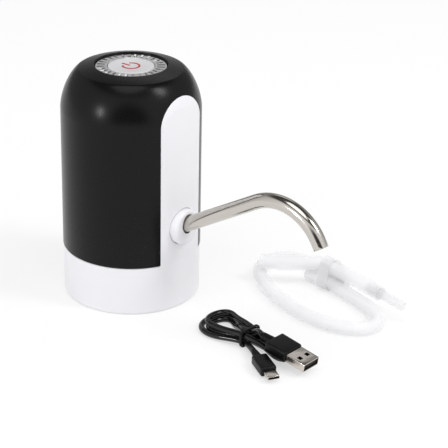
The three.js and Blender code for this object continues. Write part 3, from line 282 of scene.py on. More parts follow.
def on_spout_axis(bm):
    """Lays a shape turned about Z on the tilted axis of the spout."""
    place = Matrix.Translation((PANEL_CENTRE, 0, SPOUT_HEIGHT))
    return turned(bm, place @ Matrix.Rotation(QUARTER - SPOUT_TILT, 4, "Y"))


def carved(body, tools, operation="DIFFERENCE"):
    """The body after each tool has been cut from it, joined to it or kept in common with it."""
    def as_object(bm, name):
        mesh = bpy.data.meshes.new(name)
        bm.to_mesh(mesh)
        bm.free()
        made = bpy.data.objects.new(name, mesh)
        bpy.context.scene.collection.objects.link(made)
        return made

    target = as_object(body, "carving")
    cutters = [as_object(tool, "cutter") for tool in tools]
    for cutter in cutters:
        step = target.modifiers.new("carve", "BOOLEAN")
        step.operation = operation
        step.solver = "EXACT"
        step.object = cutter
    graph = bpy.context.evaluated_depsgraph_get()
    result = bmesh.new()
    result.from_mesh(target.evaluated_get(graph).to_mesh())
    for made in [target, *cutters]:
        mesh = made.data
        bpy.data.objects.remove(made)
        bpy.data.meshes.remove(mesh)
    bmesh.ops.remove_doubles(result, verts=result.verts, dist=MERGE)
    bmesh.ops.dissolve_degenerate(result, edges=result.edges, dist=SLIVER)
    return result


def cut_plane(bm, point, normal):
    """Cuts away what lies beyond the plane and closes the cut."""
    made = bmesh.ops.bisect_plane(bm, geom=bm.verts[:] + bm.edges[:] + bm.faces[:], plane_co=point,
                                  plane_no=normal, clear_outer=True, dist=PLANE_TOUCH)
    rim = [e for e in made["geom_cut"] if isinstance(e, bmesh.types.BMEdge)]
    bmesh.ops.holes_fill(bm, edges=rim, sides=0)
    bmesh.ops.recalc_face_normals(bm, faces=bm.faces)
    return bm


def smooth_path(points, spacing):
    """Points on one smooth curve (centripetal) through the given ones, evenly spaced."""
    points = [Vector(p) for p in points]
    ends = [points[0] * 2 - points[1], *points, points[-1] * 2 - points[-2]]
    line = []
    for a, b, c, d in zip(ends, ends[1:], ends[2:], ends[3:]):
        t1 = (b - a).length ** 0.5
        t2 = t1 + (c - b).length ** 0.5
        t3 = t2 + (d - c).length ** 0.5
        steps = max(2, int((c - b).length / spacing * FINE_STEPS))
        for k in range(steps):
            t = t1 + (t2 - t1) * k / steps
            a1 = a * ((t1 - t) / t1) + b * (t / t1)
            a2 = b * ((t2 - t) / (t2 - t1)) + c * ((t - t1) / (t2 - t1))
            a3 = c * ((t3 - t) / (t3 - t2)) + d * ((t - t2) / (t3 - t2))
            b1 = a1 * ((t2 - t) / t2) + a2 * (t / t2)
            b2 = a2 * ((t3 - t) / (t3 - t1)) + a3 * ((t - t1) / (t3 - t1))
            line.append(b1 * ((t2 - t) / (t2 - t1)) + b2 * ((t - t1) / (t2 - t1)))
    line.append(points[-1])
    return evenly(line, spacing)


def evenly(line, spacing):
    total = sum((b - a).length for a, b in zip(line, line[1:]))
    count = max(2, round(total / spacing))
    even, travel, wanted = [line[0]], 0, 1
    for a, b in zip(line, line[1:]):
        step = (b - a).length
        while wanted < count and travel + step >= total * wanted / count:
            even.append(a.lerp(b, (total * wanted / count - travel) / step))
            wanted += 1
        travel += step
    return [*even, line[-1]]


def eased_corners(line, passes):
    """The line with its sharp corners rounded. Both ends stay where they are."""
    for _ in range(passes):
        line = [line[0], *((a + 2 * b + c) / 4 for a, b, c in zip(line, line[1:], line[2:])), line[-1]]
    return line


def tube(path, radius, sides=CORD_SIDES, bore=0.0):
    """A round tube along the path, open where it has a bore, with a map round it and along it."""
    bm = bmesh.new()
    uv = bm.loops.layers.uv.new("UVMap")
    ring_of = bm.verts.layers.int.new("ring")
    side_of = bm.verts.layers.int.new("side")
    travel = [0.0]
    for a, b in zip(path, path[1:]):
        travel.append(travel[-1] + (b - a).length)

    def wall(size):
        loops = []
        up = Vector((0, 0, 1))
        for i, point in enumerate(path):
            ahead = (path[min(i + 1, len(path) - 1)] - path[max(i - 1, 0)]).normalized()
            up = (up - ahead * up.dot(ahead)).normalized()
            across = ahead.cross(up)
            place = Matrix((up, across, ahead)).transposed().to_4x4()
            place.translation = point
            made = bmesh.ops.create_circle(bm, cap_ends=False, segments=sides, radius=size, matrix=place)
            for k, vert in enumerate(made["verts"]):
                vert[ring_of] = i
                vert[side_of] = k
            loops.append(made["verts"])
        return [loop_edges(bm, loop) for loop in loops]

    outer = wall(radius)
    for a, b in zip(outer, outer[1:]):
        bmesh.ops.bridge_loops(bm, edges=a + b)
    if bore > 0:
        inner = wall(bore)
        for a, b in zip(inner, inner[1:]):
            bmesh.ops.bridge_loops(bm, edges=a + b)
        for end in (0, -1):
            bmesh.ops.bridge_loops(bm, edges=outer[end] + inner[end])
    else:
        for end in (0, -1):
            bmesh.ops.contextual_create(bm, geom=outer[end])
    bmesh.ops.recalc_face_normals(bm, faces=bm.faces)
    for face in bm.faces:
        sides_here = [loop.vert[side_of] for loop in face.loops]
        wraps = max(sides_here) - min(sides_here) > sides / 2
        for loop in face.loops:
            side = loop.vert[side_of] + (sides if wraps and loop.vert[side_of] < sides / 2 else 0)
            loop[uv].uv = (side / sides, travel[loop.vert[ring_of]])
    return bm


def loop_edges(bm, verts):
    edges = set()
    chosen = set(verts)
    for vert in verts:
        edges.update(e for e in vert.link_edges if e.other_vert(vert) in chosen and len(e.link_faces) == 0)
    return list(edges)


def band(outer, inner, width):
    """A flat band between two outlines of the same number of [y, z] points, wide along X."""
    bm = bmesh.new()
    loops = []
    for outline, x in ((outer, -width / 2), (outer, width / 2), (inner, width / 2), (inner, -width / 2)):
        verts = [bm.verts.new((x, y, z)) for y, z in outline]
        loops.append([bm.edges.new(pair) for pair in zip(verts, verts[1:] + verts[:1])])
    for a, b in zip(loops, loops[1:] + loops[:1]):
        bmesh.ops.bridge_loops(bm, edges=a + b)
    bmesh.ops.recalc_face_normals(bm, faces=bm.faces)
    return bm


def finished(name, bm, body, dress, *replaces, sharp=SMOOTH_TURN):
    """Turns a bmesh into a piece: lowered to the frame, shaded, dressed and riding on its body."""
    bmesh.ops.translate(bm, verts=bm.verts, vec=(0, 0, -SEAT_HEIGHT))
    mesh = bpy.data.meshes.new(name)
    bm.to_mesh(mesh)
    bm.free()
    mesh.shade_smooth()
    mesh.set_sharp_from_angle(angle=sharp)
    piece = bpy.data.objects.new(name, mesh)
    bpy.context.scene.collection.objects.link(piece)
    mesh.materials.append(finish(dress))
    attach(piece, body)
    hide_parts(*replaces)
    return piece


# Materials
WHITE = (1, 1, 1, 1)
FINE_DETAIL = 3.0
FINE_ROUGHNESS = 0.6
BLOTCH_DETAIL = 2.0
NOISE_SPAN = {"From Min": 0.3, "From Max": 0.7}
LEAST_ROUGHNESS = 0.02

made_finishes = {}


def add(tree, kind, settings=None, links=None):
    """Adds a node, sets its sockets or properties, and links its inputs."""
    made = tree.nodes.new(kind)
    for key, value in (settings or {}).items():
        if isinstance(key, str) and key not in made.inputs and hasattr(made, key):
            setattr(made, key, value)
        else:
            made.inputs[key].default_value = value
    for key, source in (links or {}).items():
        tree.links.new(source, made.inputs[key])
    return made


def blank(name):
    """A material with only an output, its shader still to come."""
    material = bpy.data.materials.new(name)
    material.use_nodes = True
    tree = material.node_tree
    tree.nodes.clear()
    return material, tree, add(tree, "ShaderNodeOutputMaterial")


def surfaced(name, colour, shader, grain, bump, shade, blotch, stretch=(1, 1, 1), rough_span=0.08, uv=False):
    """A shader with fine grain in its height and roughness, and slow blotches in its colour.

    grain and blotch are the sizes in metres of the fine texture and of the slow variation."""
    material, tree, output = blank(name)
    where = add(tree, "ShaderNodeTexCoord").outputs["UV" if uv else "Object"]
    space = add(tree, "ShaderNodeMapping", {"Scale": stretch}, {"Vector": where}).outputs["Vector"]
    fine = add(tree, "ShaderNodeTexNoise",
               {"Scale": 1 / grain, "Detail": FINE_DETAIL, "Roughness": FINE_ROUGHNESS},
               {"Vector": space}).outputs["Fac"]
    slow = add(tree, "ShaderNodeTexNoise", {"Scale": 1 / blotch, "Detail": BLOTCH_DETAIL},
               {"Vector": where}).outputs["Fac"]
    tint = add(tree, "ShaderNodeMapRange", {**NOISE_SPAN, "To Min": 1 - shade, "To Max": 1.0},
               {"Value": slow}).outputs["Result"]
    toned = add(tree, "ShaderNodeHueSaturation", {"Color": colour}, {"Value": tint}).outputs["Color"]
    lowest = max(shader["Roughness"] - rough_span / 2, LEAST_ROUGHNESS)
    rough = add(tree, "ShaderNodeMapRange",
                {**NOISE_SPAN, "To Min": lowest, "To Max": shader["Roughness"] + rough_span / 2},
                {"Value": fine}).outputs["Result"]
    height = add(tree, "ShaderNodeBump", {"Strength": 1.0, "Distance": bump},
                 {"Height": fine}).outputs["Normal"]
    plain = {key: value for key, value in shader.items() if key != "Roughness"}
    surface = add(tree, "ShaderNodeBsdfPrincipled", plain,
                  {"Base Color": toned, "Roughness": rough, "Normal": height})
    tree.links.new(surface.outputs["BSDF"], output.inputs["Surface"])
    return material


# Each finish: its slot in the frame, its colour, its shader's numbers, and its fine and slow texture
FINISHES = {
    # Injection-moulded ABS with a fine spark texture: a soft wide highlight on an even cool white
    "white_abs_satin": (
        "white_shell", "white_abs", {"Roughness": 0.36, "IOR": 1.53},
        {"grain": mm(0.5), "bump": mm(0.006), "shade": 0.02, "blotch": mm(40)},
    ),
    # Satin black ABS: one soft highlight over the dome, weak reflections, faint flow marks in its gloss
    "black_abs_satin": (
        "black_shell", "black_abs", {"Roughness": 0.26, "IOR": 1.5, "Specular IOR Level": 0.17},
        {"grain": mm(0.6), "bump": mm(0.005), "shade": 0.15, "blotch": mm(25), "rough_span": 0.06},
    ),
    # Drawn stainless tube polished round its girth: fine lines across the tube that spread the highlight
    "brushed_stainless": (
        "brushed_steel", "steel", {"Roughness": 0.15, "Metallic": 1.0},
        {"grain": mm(3), "bump": mm(0.001), "shade": 0.08, "blotch": mm(14), "stretch": (0.01, 4, 1),
         "rough_span": 0.06, "uv": True},
    ),
    # Nickel-plated sheet and screws: bright with slight cloudiness
    "nickel_plate": (
        "plated_steel", "#D6CFC7", {"Roughness": 0.24, "Metallic": 1.0},
        {"grain": mm(0.8), "bump": mm(0.003), "shade": 0.1, "blotch": mm(5)},
    ),
    # Chromed ABS ring: its facets are geometry, the plating has a faint orange peel under a thin lacquer
    "faceted_chrome": (
        "chrome_trim", "chrome", {"Roughness": 0.06, "Metallic": 0.93},
        {"grain": mm(1.5), "bump": mm(0.002), "shade": 0.05, "blotch": mm(6), "rough_span": 0.03},
    ),
    # Satin lacquered cap: a fine metallic flake under a soft gloss
    "silver_abs_cap": (
        "silver_cap", "cap_silver", {"Roughness": 0.34, "Metallic": 0.25, "IOR": 1.5},
        {"grain": mm(0.35), "bump": mm(0.004), "shade": 0.05, "blotch": mm(1.2)},
    ),
    # Pad-printed ink: flat, slightly uneven at its edge
    "red_pad_print": (
        "red_print", "symbol_red", {"Roughness": 0.5, "IOR": 1.5},
        {"grain": mm(0.3), "bump": mm(0.004), "shade": 0.12, "blotch": mm(1.5)},
    ),
    # Extruded silicone hose: milky and see-through, with a dull sheen and fine drag lines
    "translucent_silicone": (
        "clear_silicone", "silicone",
        {"Roughness": 0.5, "IOR": 1.41, "Specular IOR Level": 0.12, "Alpha": 0.36},
        {"grain": mm(1.2), "bump": mm(0.001), "shade": 0.02, "blotch": mm(20), "stretch": (2, 0.1, 1),
         "uv": True},
    ),
    # Clear polyethylene film and tube: mostly see-through with a soft edge sheen
    "clear_polyethylene": (
        "clear_plastic", "#F4F4F5", {"Roughness": 0.3, "IOR": 1.5, "Specular IOR Level": 0.3, "Alpha": 0.3},
        {"grain": mm(1.5), "bump": mm(0.001), "shade": 0.03, "blotch": mm(8)},
    ),
    # Frosted acrylic light guide: pale and diffusing
    "frosted_lens": (
        None, "#DDE6EE", {"Roughness": 0.4, "IOR": 1.49, "Transmission Weight": 0.3},
        {"grain": mm(0.5), "bump": mm(0.005), "shade": 0.03, "blotch": mm(4)},
    ),
    # Extruded PVC jacket: glossy, with drag lines along the cord
    "black_pvc_jacket": (
        "black_cable", "cable_black", {"Roughness": 0.13, "IOR": 1.45, "Specular IOR Level": 0.5},
        {"grain": mm(0.8), "bump": mm(0.004), "shade": 0.15, "blotch": mm(9), "stretch": (10, 0.08, 1),
         "uv": True},
    ),
    # Overmoulded PVC plug: fine moulded texture, softer gloss than the cord
    "black_moulded_plug": (
        "black_cable", "cable_black", {"Roughness": 0.38, "IOR": 1.45, "Specular IOR Level": 0.25},
        {"grain": mm(0.45), "bump": mm(0.005), "shade": 0.12, "blotch": mm(5)},
    ),
    # Moulded rubber: matt with a dusty bloom
    "moulded_rubber": (
        "black_rubber", "rubber_black", {"Roughness": 0.78, "IOR": 1.52},
        {"grain": mm(0.5), "bump": mm(0.02), "shade": 0.2, "blotch": mm(6)},
    ),
    # Glass-filled nylon: matt cream with a slightly fibrous skin
    "natural_nylon": (
        None, "#DAD6CB", {"Roughness": 0.6, "IOR": 1.53, "Subsurface Weight": 0.05},
        {"grain": mm(0.8), "bump": mm(0.02), "shade": 0.08, "blotch": mm(7)},
    ),
    # Circuit board under solder mask: glossy green with a woven glass ground
    "green_solder_mask": (
        None, "#1E5A35", {"Roughness": 0.3, "IOR": 1.55},
        {"grain": mm(0.9), "bump": mm(0.01), "shade": 0.2, "blotch": mm(3)},
    ),
    # Heat-shrunk PVC sleeve on the cell: glossy with slight ripples
    "blue_cell_wrap": (
        None, "#2F6DA8", {"Roughness": 0.25, "IOR": 1.53},
        {"grain": mm(4), "bump": mm(0.05), "shade": 0.08, "blotch": mm(15)},
    ),
    # PVC hook-up wire
    "red_wire_jacket": (
        None, "#B01E1E", {"Roughness": 0.45, "IOR": 1.52},
        {"grain": mm(0.5), "bump": mm(0.005), "shade": 0.1, "blotch": mm(6)},
    ),
}


def finish(name):
    """The material of a finish in the table, made the first time it is asked for."""
    if name not in made_finishes:
        _, colour, shader, texture = FINISHES[name]
        tone = linear(colour) if colour.startswith("#") else getattr(colours(), colour)
        made_finishes[name] = surfaced(name, tone, shader, **texture)
    return made_finishes[name]


def seen_by(tree, *kinds):
    """1 for rays of the named kinds and 0 for all others."""
    paths = add(tree, "ShaderNodeLightPath")
    seen = paths.outputs[kinds[0]]
    for kind in kinds[1:]:
        seen = add(tree, "ShaderNodeMath", {"operation": "MAXIMUM"},
                   {0: seen, 1: paths.outputs[kind]}).outputs[0]
    return seen


def pale_floor():
    # Seamless white paper: part paper, part glow to the camera and in reflections, so soft shadows stay
    material, tree, output = blank("pale_floor")
    seen = seen_by(tree, "Is Camera Ray", "Is Glossy Ray", "Is Transmission Ray")
    share = add(tree, "ShaderNodeMath", {"operation": "MULTIPLY", 1: FLOOR_GLOW_SHARE}, {0: seen})
    paper = add(tree, "ShaderNodeBsdfDiffuse", {"Color": colours().floor_white})
    glow = add(tree, "ShaderNodeEmission", {"Color": WHITE, "Strength": 1.0})
    both = add(tree, "ShaderNodeMixShader", {},
               {0: share.outputs[0], 1: paper.outputs[0], 2: glow.outputs[0]})
    tree.links.new(both.outputs[0], output.inputs["Surface"])
    return material


# Solids of the frame that stay as they are, by finish
CARRIED_OVER = {
    "natural_nylon": ["outlet_elbow", "inner_frame", "pump_head", "pump_valve_plate", "pump_cover",
                      "inlet_nipple", "eccentric_cam"],
    "green_solder_mask": ["control_board", "charge_board"],
    "black_moulded_plug": ["tact_switch", "motor_end_cap"],
    "nickel_plate": ["charge_port", "motor_can", "motor_rotor", "inlet_clip", "outlet_clip",
                     "frame_screw_1", "frame_screw_2", "frame_screw_3", "board_screw_1", "board_screw_2",
                     "pump_screw_1", "pump_screw_2"],
    "frosted_lens": ["light_ring", "indicator_lens"],
    "blue_cell_wrap": ["battery_cell"],
    "moulded_rubber": ["motor_pad", "pump_diaphragm", "spout_bush", "battery_wire_black", "motor_wire_black"],
    "red_wire_jacket": ["battery_wire_red", "motor_wire_red"],
    "clear_polyethylene": ["inlet_hose", "outlet_hose"],
}

# Stage. The camera was worked out from the photograph
CAMERA_PLACE = (mm(546.2), mm(-624.3), mm(416.4))
CAMERA_AZIMUTH = math.radians(37.7)
CAMERA_DIP = math.radians(24.577)
CAMERA_ROLL = math.radians(1.184)
CAMERA_LENS_MM = 133.9
CAMERA_SENSOR_MM = 36
FLOOR_SIZE = 6.0
FLOOR_DROP = mm(0.05)
FLOOR_GLOW_SHARE = 0.55
WORLD_STRENGTH = 0.71
CEILING_LEVEL = 0.06
CEILING_RISE = (math.radians(38), math.radians(50))

# Brightness of the mirrored walls by how far a direction points at the camera, from -1 to 1
WALL_LEVELS = ((-1.0, 0.5), (-0.85, 0.22), (-0.35, 0.55), (0.3, 0.9), (0.8, 1.1), (0.91, 0.04))

# Azimuth and rise in degrees
LAMP_DISTANCE = 1.6
LAMPS = {
    "key": {"azimuth": -101, "rise": 12, "size": (0.2, 0.26), "watts": 4.6},
    "fill": {"azimuth": 18, "rise": 45, "size": (0.4, 0.6), "watts": 7.0},
    "back": {"azimuth": 120, "rise": 40, "size": (0.8, 0.5), "watts": 0.6},
    "top": {"azimuth": -60, "rise": 75, "size": (1.2, 1.2), "watts": 7.0},
}
LAMP_TARGET = Vector((mm(20), 0, mm(60)))


class PUMP_OT_stage(bpy.types.Operator):
    """Floor, world, lamps and the camera at the photograph's viewpoint"""

    bl_idname = "pump.stage"
    bl_label = "Stage"

    def execute(self, context):
        self.add_camera(context)
        self.add_floor(context)
        self.add_world(context)
        for name, lamp in LAMPS.items():
            self.add_lamp(context, name, lamp)
        context.scene.view_settings.view_transform = "Standard"
        return {"FINISHED"}

    def add_camera(self, context):
        data = bpy.data.cameras.new("camera")
        data.sensor_width = CAMERA_SENSOR_MM
        data.sensor_fit = "HORIZONTAL"
        data.lens = CAMERA_LENS_MM
        camera = bpy.data.objects.new("camera", data)
        context.scene.collection.objects.link(camera)
        place = Matrix.Translation(Vector(CAMERA_PLACE) - Vector((0, 0, SEAT_HEIGHT)))
        place @= Matrix.Rotation(CAMERA_AZIMUTH, 4, "Z")
        place @= Matrix.Rotation(QUARTER - CAMERA_DIP, 4, "X")
        place @= Matrix.Rotation(CAMERA_ROLL, 4, "Z")
        camera.matrix_world = place
        context.scene.camera = camera

    def add_floor(self, context):
        bm = bmesh.new()
        bmesh.ops.create_grid(bm, x_segments=1, y_segments=1, size=FLOOR_SIZE / 2)
        bmesh.ops.translate(bm, verts=bm.verts, vec=(0, 0, -SEAT_HEIGHT - FLOOR_DROP))
        mesh = bpy.data.meshes.new("floor")
        bm.to_mesh(mesh)
        bm.free()
        mesh.materials.append(pale_floor())
        floor = bpy.data.objects.new("floor", mesh)
        context.scene.collection.objects.link(floor)

    def add_world(self, context):
        world = bpy.data.worlds.new("studio")
        context.scene.world = world
        world.use_nodes = True
        tree = world.node_tree
        tree.nodes.clear()
        mirrored = add(tree, "ShaderNodeMapRange", {"To Min": WORLD_STRENGTH},
                       {"Value": seen_by(tree, "Is Glossy Ray"), "To Max": self.add_studio_walls(tree)})
        level = add(tree, "ShaderNodeMapRange", {"To Max": 1.0},
                    {"Value": seen_by(tree, "Is Camera Ray", "Is Transmission Ray"),
                     "To Min": mirrored.outputs["Result"]})
        sky = add(tree, "ShaderNodeBackground", {"Color": WHITE}, {"Strength": level.outputs["Result"]})
        output = add(tree, "ShaderNodeOutputWorld")
        tree.links.new(sky.outputs[0], output.inputs["Surface"])

    def add_studio_walls(self, tree):
        """What metal and gloss mirror: pale walls with a gap at the front, under a dark ceiling."""
        towards = add(tree, "ShaderNodeTexCoord").outputs["Generated"]
        front = (math.sin(CAMERA_AZIMUTH), -math.cos(CAMERA_AZIMUTH), 0)
        facing = add(tree, "ShaderNodeVectorMath", {"operation": "DOT_PRODUCT", 1: front}, {0: towards})
        share = add(tree, "ShaderNodeMapRange", {"From Min": -1.0}, {"Value": facing.outputs["Value"]})
        walls = add(tree, "ShaderNodeValToRGB", {}, {"Fac": share.outputs["Result"]})
        stops = walls.color_ramp.elements
        stops.remove(stops[-1])
        for i, (place, level) in enumerate(WALL_LEVELS):
            stop = stops[0] if i == 0 else stops.new((1 + place) / 2)
            stop.color = (level, level, level, 1)
        rise = add(tree, "ShaderNodeSeparateXYZ", {}, {"Vector": towards}).outputs["Z"]
        low, high = (math.sin(angle) for angle in CEILING_RISE)
        return add(tree, "ShaderNodeMapRange", {"From Min": low, "From Max": high, "To Max": CEILING_LEVEL},
                   {"Value": rise, "To Min": walls.outputs["Color"]}).outputs["Result"]

    def add_lamp(self, context, name, lamp):
        data = bpy.data.lights.new(name, "AREA")
        data.shape = "ELLIPSE"
        data.size, data.size_y = lamp["size"]
        data.energy = lamp["watts"]
        made = bpy.data.objects.new(name, data)
        context.scene.collection.objects.link(made)
        azimuth, rise = math.radians(lamp["azimuth"]), math.radians(lamp["rise"])
        level = math.cos(rise)
        away = Vector((level * math.cos(azimuth), level * math.sin(azimuth), math.sin(rise)))
        made.location = LAMP_TARGET + away * LAMP_DISTANCE
        made.rotation_euler = (LAMP_TARGET - made.location).to_track_quat("-Z", "Y").to_euler()


# Base and neck sleeve
FRAME_SCREW_PLACES = ((mm(16), mm(18)), (mm(-22), 0), (mm(11), mm(-20)))
SCREW_HEAD_RADIUS = mm(3)
SCREW_HOLE_RADIUS = mm(1.5)
SCREW_SINK = mm(1.8)
HOLE_RISE = 3 * OVERRUN
NIPPLE_PLACE = (mm(-13), 0)
NIPPLE_HOLE_RADIUS = mm(3.7)
GRIP_INNER = mm(27.5)
SEAT_GROOVE = mm(0.6)
RIB_DEPTH = mm(1.1)
RIB_COUNT = 5
GRIP_BOTTOM = mm(1.2)
TOP_EDGE_ROUND = mm(0.3)
SEAM_ROUND = mm(0.1)
SCOOP_ROWS = 40


def strip_face(y):
    return PANEL_CENTRE - PANEL_BEND + math.sqrt(PANEL_BEND ** 2 - y ** 2)


class PUMP_OT_base(bpy.types.Operator):
    """White base with the scoop below the strip, and the ribbed rubber sleeve in its socket"""

    bl_idname = "pump.base"
    bl_label = "Base"

    def execute(self, context):
        radius = sizes().shell_radius - BASE_INSET
        top = sizes().base_height - GAP
        spigot = sizes().shell_radius - SHELL_WALL - GAP
        rows = [(radius, EDGE_ROUND + (top - EDGE_ROUND) * i / SCOOP_ROWS) for i in range(1, SCOOP_ROWS)]
        outline = filleted([
            (0, SEAT_HEIGHT),
            (GRIP_INNER - GAP, SEAT_HEIGHT),
            (GRIP_INNER - GAP, SEAT_HEIGHT + SEAT_GROOVE),
            (SOCKET_RADIUS, SEAT_HEIGHT + SEAT_GROOVE),
            (SOCKET_RADIUS, 0, TOP_EDGE_ROUND),
            (radius, 0, EDGE_ROUND),
            *rows,
            (radius, top, SEAM_ROUND),
            (spigot, top),
            (spigot, top + SPIGOT_HEIGHT, TOP_EDGE_ROUND),
            (spigot - SPIGOT_WALL, top + SPIGOT_HEIGHT, TOP_EDGE_ROUND),
            (spigot - SPIGOT_WALL, top),
            (0, top),
        ])
        shell = lathe(outline, WIDE_SIDES)
        self.press_scoop(shell, radius, top)
        behind_strip = slab((PANEL_BACK - SPIGOT_WALL - GAP, -spigot, top + MERGE),
                            (sizes().shell_radius, spigot, top + 2 * SPIGOT_HEIGHT))
        base = carved(shell, [behind_strip, *self.floor_holes()])
        finished("base_shell", base, "housing", "white_abs_satin", "base_housing")
        self.add_sleeve()
        return {"FINISHED"}

    def press_scoop(self, shell, radius, top):
        """Presses the front in to run on from the strip and lean out to the wall below it."""
        slope = (radius - PANEL_CENTRE) / (sizes().base_height - SCOOP_LOW)
        for vert in shell.verts:
            lean = max(sizes().base_height - vert.co.z, 0) * slope
            if vert.co.z < top + MERGE and vert.co.x > strip_face(vert.co.y) + lean:
                vert.co.x = strip_face(vert.co.y) + lean

    def floor_holes(self):
        """Tools for the sunk screw holes and for the hole of the inlet nipple."""
        steps = ((SCREW_HEAD_RADIUS, -OVERRUN, SCREW_SINK), (SCREW_HOLE_RADIUS, 0, HOLE_RISE))
        screws = [moved(drum(radius, SEAT_HEIGHT + low, SEAT_HEIGHT + high, SMALL_SIDES), (x, y, 0))
                  for x, y in FRAME_SCREW_PLACES for radius, low, high in steps]
        nipple = drum(NIPPLE_HOLE_RADIUS, SEAT_HEIGHT - OVERRUN, SEAT_HEIGHT + HOLE_RISE, SMALL_SIDES)
        return [*screws, moved(nipple, (*NIPPLE_PLACE, 0))]

    def add_sleeve(self):
        top = SEAT_HEIGHT - GAP
        pitch = (top - GRIP_BOTTOM) / RIB_COUNT
        corners = [(SOCKET_RADIUS - GAP, GRIP_BOTTOM, TOP_EDGE_ROUND), (SOCKET_RADIUS - GAP, top)]
        for i in range(RIB_COUNT, 0, -1):
            corners.append((GRIP_INNER + RIB_DEPTH, GRIP_BOTTOM + pitch * i, 0))
            corners.append((GRIP_INNER, GRIP_BOTTOM + pitch * (i - 0.5), TOP_EDGE_ROUND))
        corners.append((GRIP_INNER + RIB_DEPTH, GRIP_BOTTOM, 0))
        sleeve = lathe(filleted(corners), WIDE_SIDES)
        finished("ribbed_sleeve", sleeve, "housing", "moulded_rubber", "neck_sleeve")


# Shell and front strip
PORT_HEIGHT = mm(39.2)
PORT_SLOT = (mm(5.5), mm(2.8))
PORT_ROUND = mm(1)
LENS_HEIGHT = mm(46.5)
LENS_HOLE = mm(1.8)
CREASE_ROUND = mm(0.8)
RIM_ROUND = mm(0.5)
LEDGE_STEP = mm(1.4)
STRIP_INSET = mm(0.13)
STRIP_OVERLAP = mm(0.5)
STRIP_SIDES = 4 * WIDE_SIDES
OPENING_ROUND = mm(0.35)


class PUMP_OT_shell(bpy.types.Operator):
    """Black domed shell, cut flat in front where the white strip sits"""

    bl_idname = "pump.shell"
    bl_label = "Shell and front strip"

    def execute(self, context):
        radius = sizes().shell_radius
        height = sizes().body_height
        inner = radius - SHELL_WALL
        crown = height - CROWN_DROP
        recess = sizes().ring_radius + GAP
        ledge = sizes().button_radius + LEDGE_STEP
        floor = height - RECESS_DEPTH
        outline = filleted([
            (inner, sizes().base_height, 0),
            (radius, sizes().base_height, RIM_ROUND),
            *dome_outline()[:-1],
            (CROWN_RADIUS, crown, CREASE_ROUND),
            (recess, height, RIM_ROUND),
            (recess, floor),
            (ledge, floor),
            (ledge, floor - OVERRUN),
            (CROWN_RADIUS - SHELL_WALL, crown - SHELL_WALL),
            *dome_outline(SHELL_WALL, reverse=True),
        ])
        shell = lathe(outline, WIDE_SIDES)
        cut_plane(shell, (PANEL_PLANE, 0, 0), (1, 0, 0))
        self.round_opening(shell)
        outside, inside = -radius - OVERRUN, -inner + OVERRUN
        slot = softened(slab((outside, -PORT_SLOT[0], PORT_HEIGHT - PORT_SLOT[1]),
                             (inside, PORT_SLOT[0], PORT_HEIGHT + PORT_SLOT[1])), PORT_ROUND)
        lens = moved(along_x(drum(LENS_HOLE, outside, inside, SMALL_SIDES)), (0, 0, LENS_HEIGHT))
        finished("domed_shell", carved(shell, [slot, lens]), "housing", "black_abs_satin", "top_housing")
        self.add_strip()
        return {"FINISHED"}

    def round_opening(self, shell):
        """Rounds the outer edge of the flat cut that the strip sits in."""
        outer = [e for e in sharp_edges(shell, CORNER_TURN)
                 if all(abs(v.co.x - PANEL_PLANE) < MERGE and v.co.xy.length > PANEL_PLANE
                        and self.outwardness(v) > 0 for v in e.verts)]
        bevelled(shell, outer, OPENING_ROUND)

    def outwardness(self, vert):
        """How far a point lies outside the middle of the wall."""
        inner = sizes().shell_radius - SHELL_WALL / 2
        if vert.co.z < DOME_START:
            return vert.co.xy.length - inner
        reach = inner - CROWN_RADIUS
        rise = sizes().body_height - CROWN_DROP - SHELL_WALL / 2 - DOME_START
        across = max(vert.co.xy.length - CROWN_RADIUS, 0) / reach
        up = (vert.co.z - DOME_START) / rise
        return across ** DOME_WIDTH_POWER + up ** DOME_HEIGHT_POWER - 1

    def add_strip(self):
        bottom = sizes().base_height - GAP - STRIP_OVERLAP
        dome = [(radius - STRIP_INSET, height) for radius, height in dome_outline()]
        side = sizes().shell_radius - STRIP_INSET
        body = lathe([(0, bottom), (side, bottom), *dome, (0, dome[-1][1])], WIDE_SIDES)
        face = moved(drum(PANEL_BEND, 0, sizes().body_height, STRIP_SIDES), (PANEL_CENTRE - PANEL_BEND, 0, 0))
        strip = carved(body, [face], "INTERSECT")
        strip = cut_plane(strip, (PANEL_BACK + SHELL_WALL - GAP, 0, 0), (-1, 0, 0))
        hole = along_x(drum(BOSS_RADIUS + GAP, 0, sizes().shell_radius + OVERRUN, MIDDLE_SIDES))
        moved(hole, (0, 0, SPOUT_HEIGHT))
        finished("front_strip", carved(strip, [hole]), "housing", "white_abs_satin", "front_panel")


# Spout and its boss
BORE_RADIUS = mm(4.4)
SOCKET_BACK = mm(-16)
BOSS_ROUND = mm(1.6)
BOSS_FLANGE_BACK = mm(28.8)
BOSS_FLANGE_RADIUS = mm(10.8)
MOUTH_ROUND = mm(0.5)
SEAL_RADIUS = mm(0.55)
SEAL_PLACE = mm(0.5)
SPOUT_SPACING = mm(1.6)
BEND_STEPS = 36
LIP_WIDTH = mm(0.12)


def spout_point(along, up):
    x = PANEL_CENTRE + along * math.cos(SPOUT_TILT) - up * math.sin(SPOUT_TILT)
    z = SPOUT_HEIGHT + along * math.sin(SPOUT_TILT) + up * math.cos(SPOUT_TILT)
    return Vector((x, 0, z))


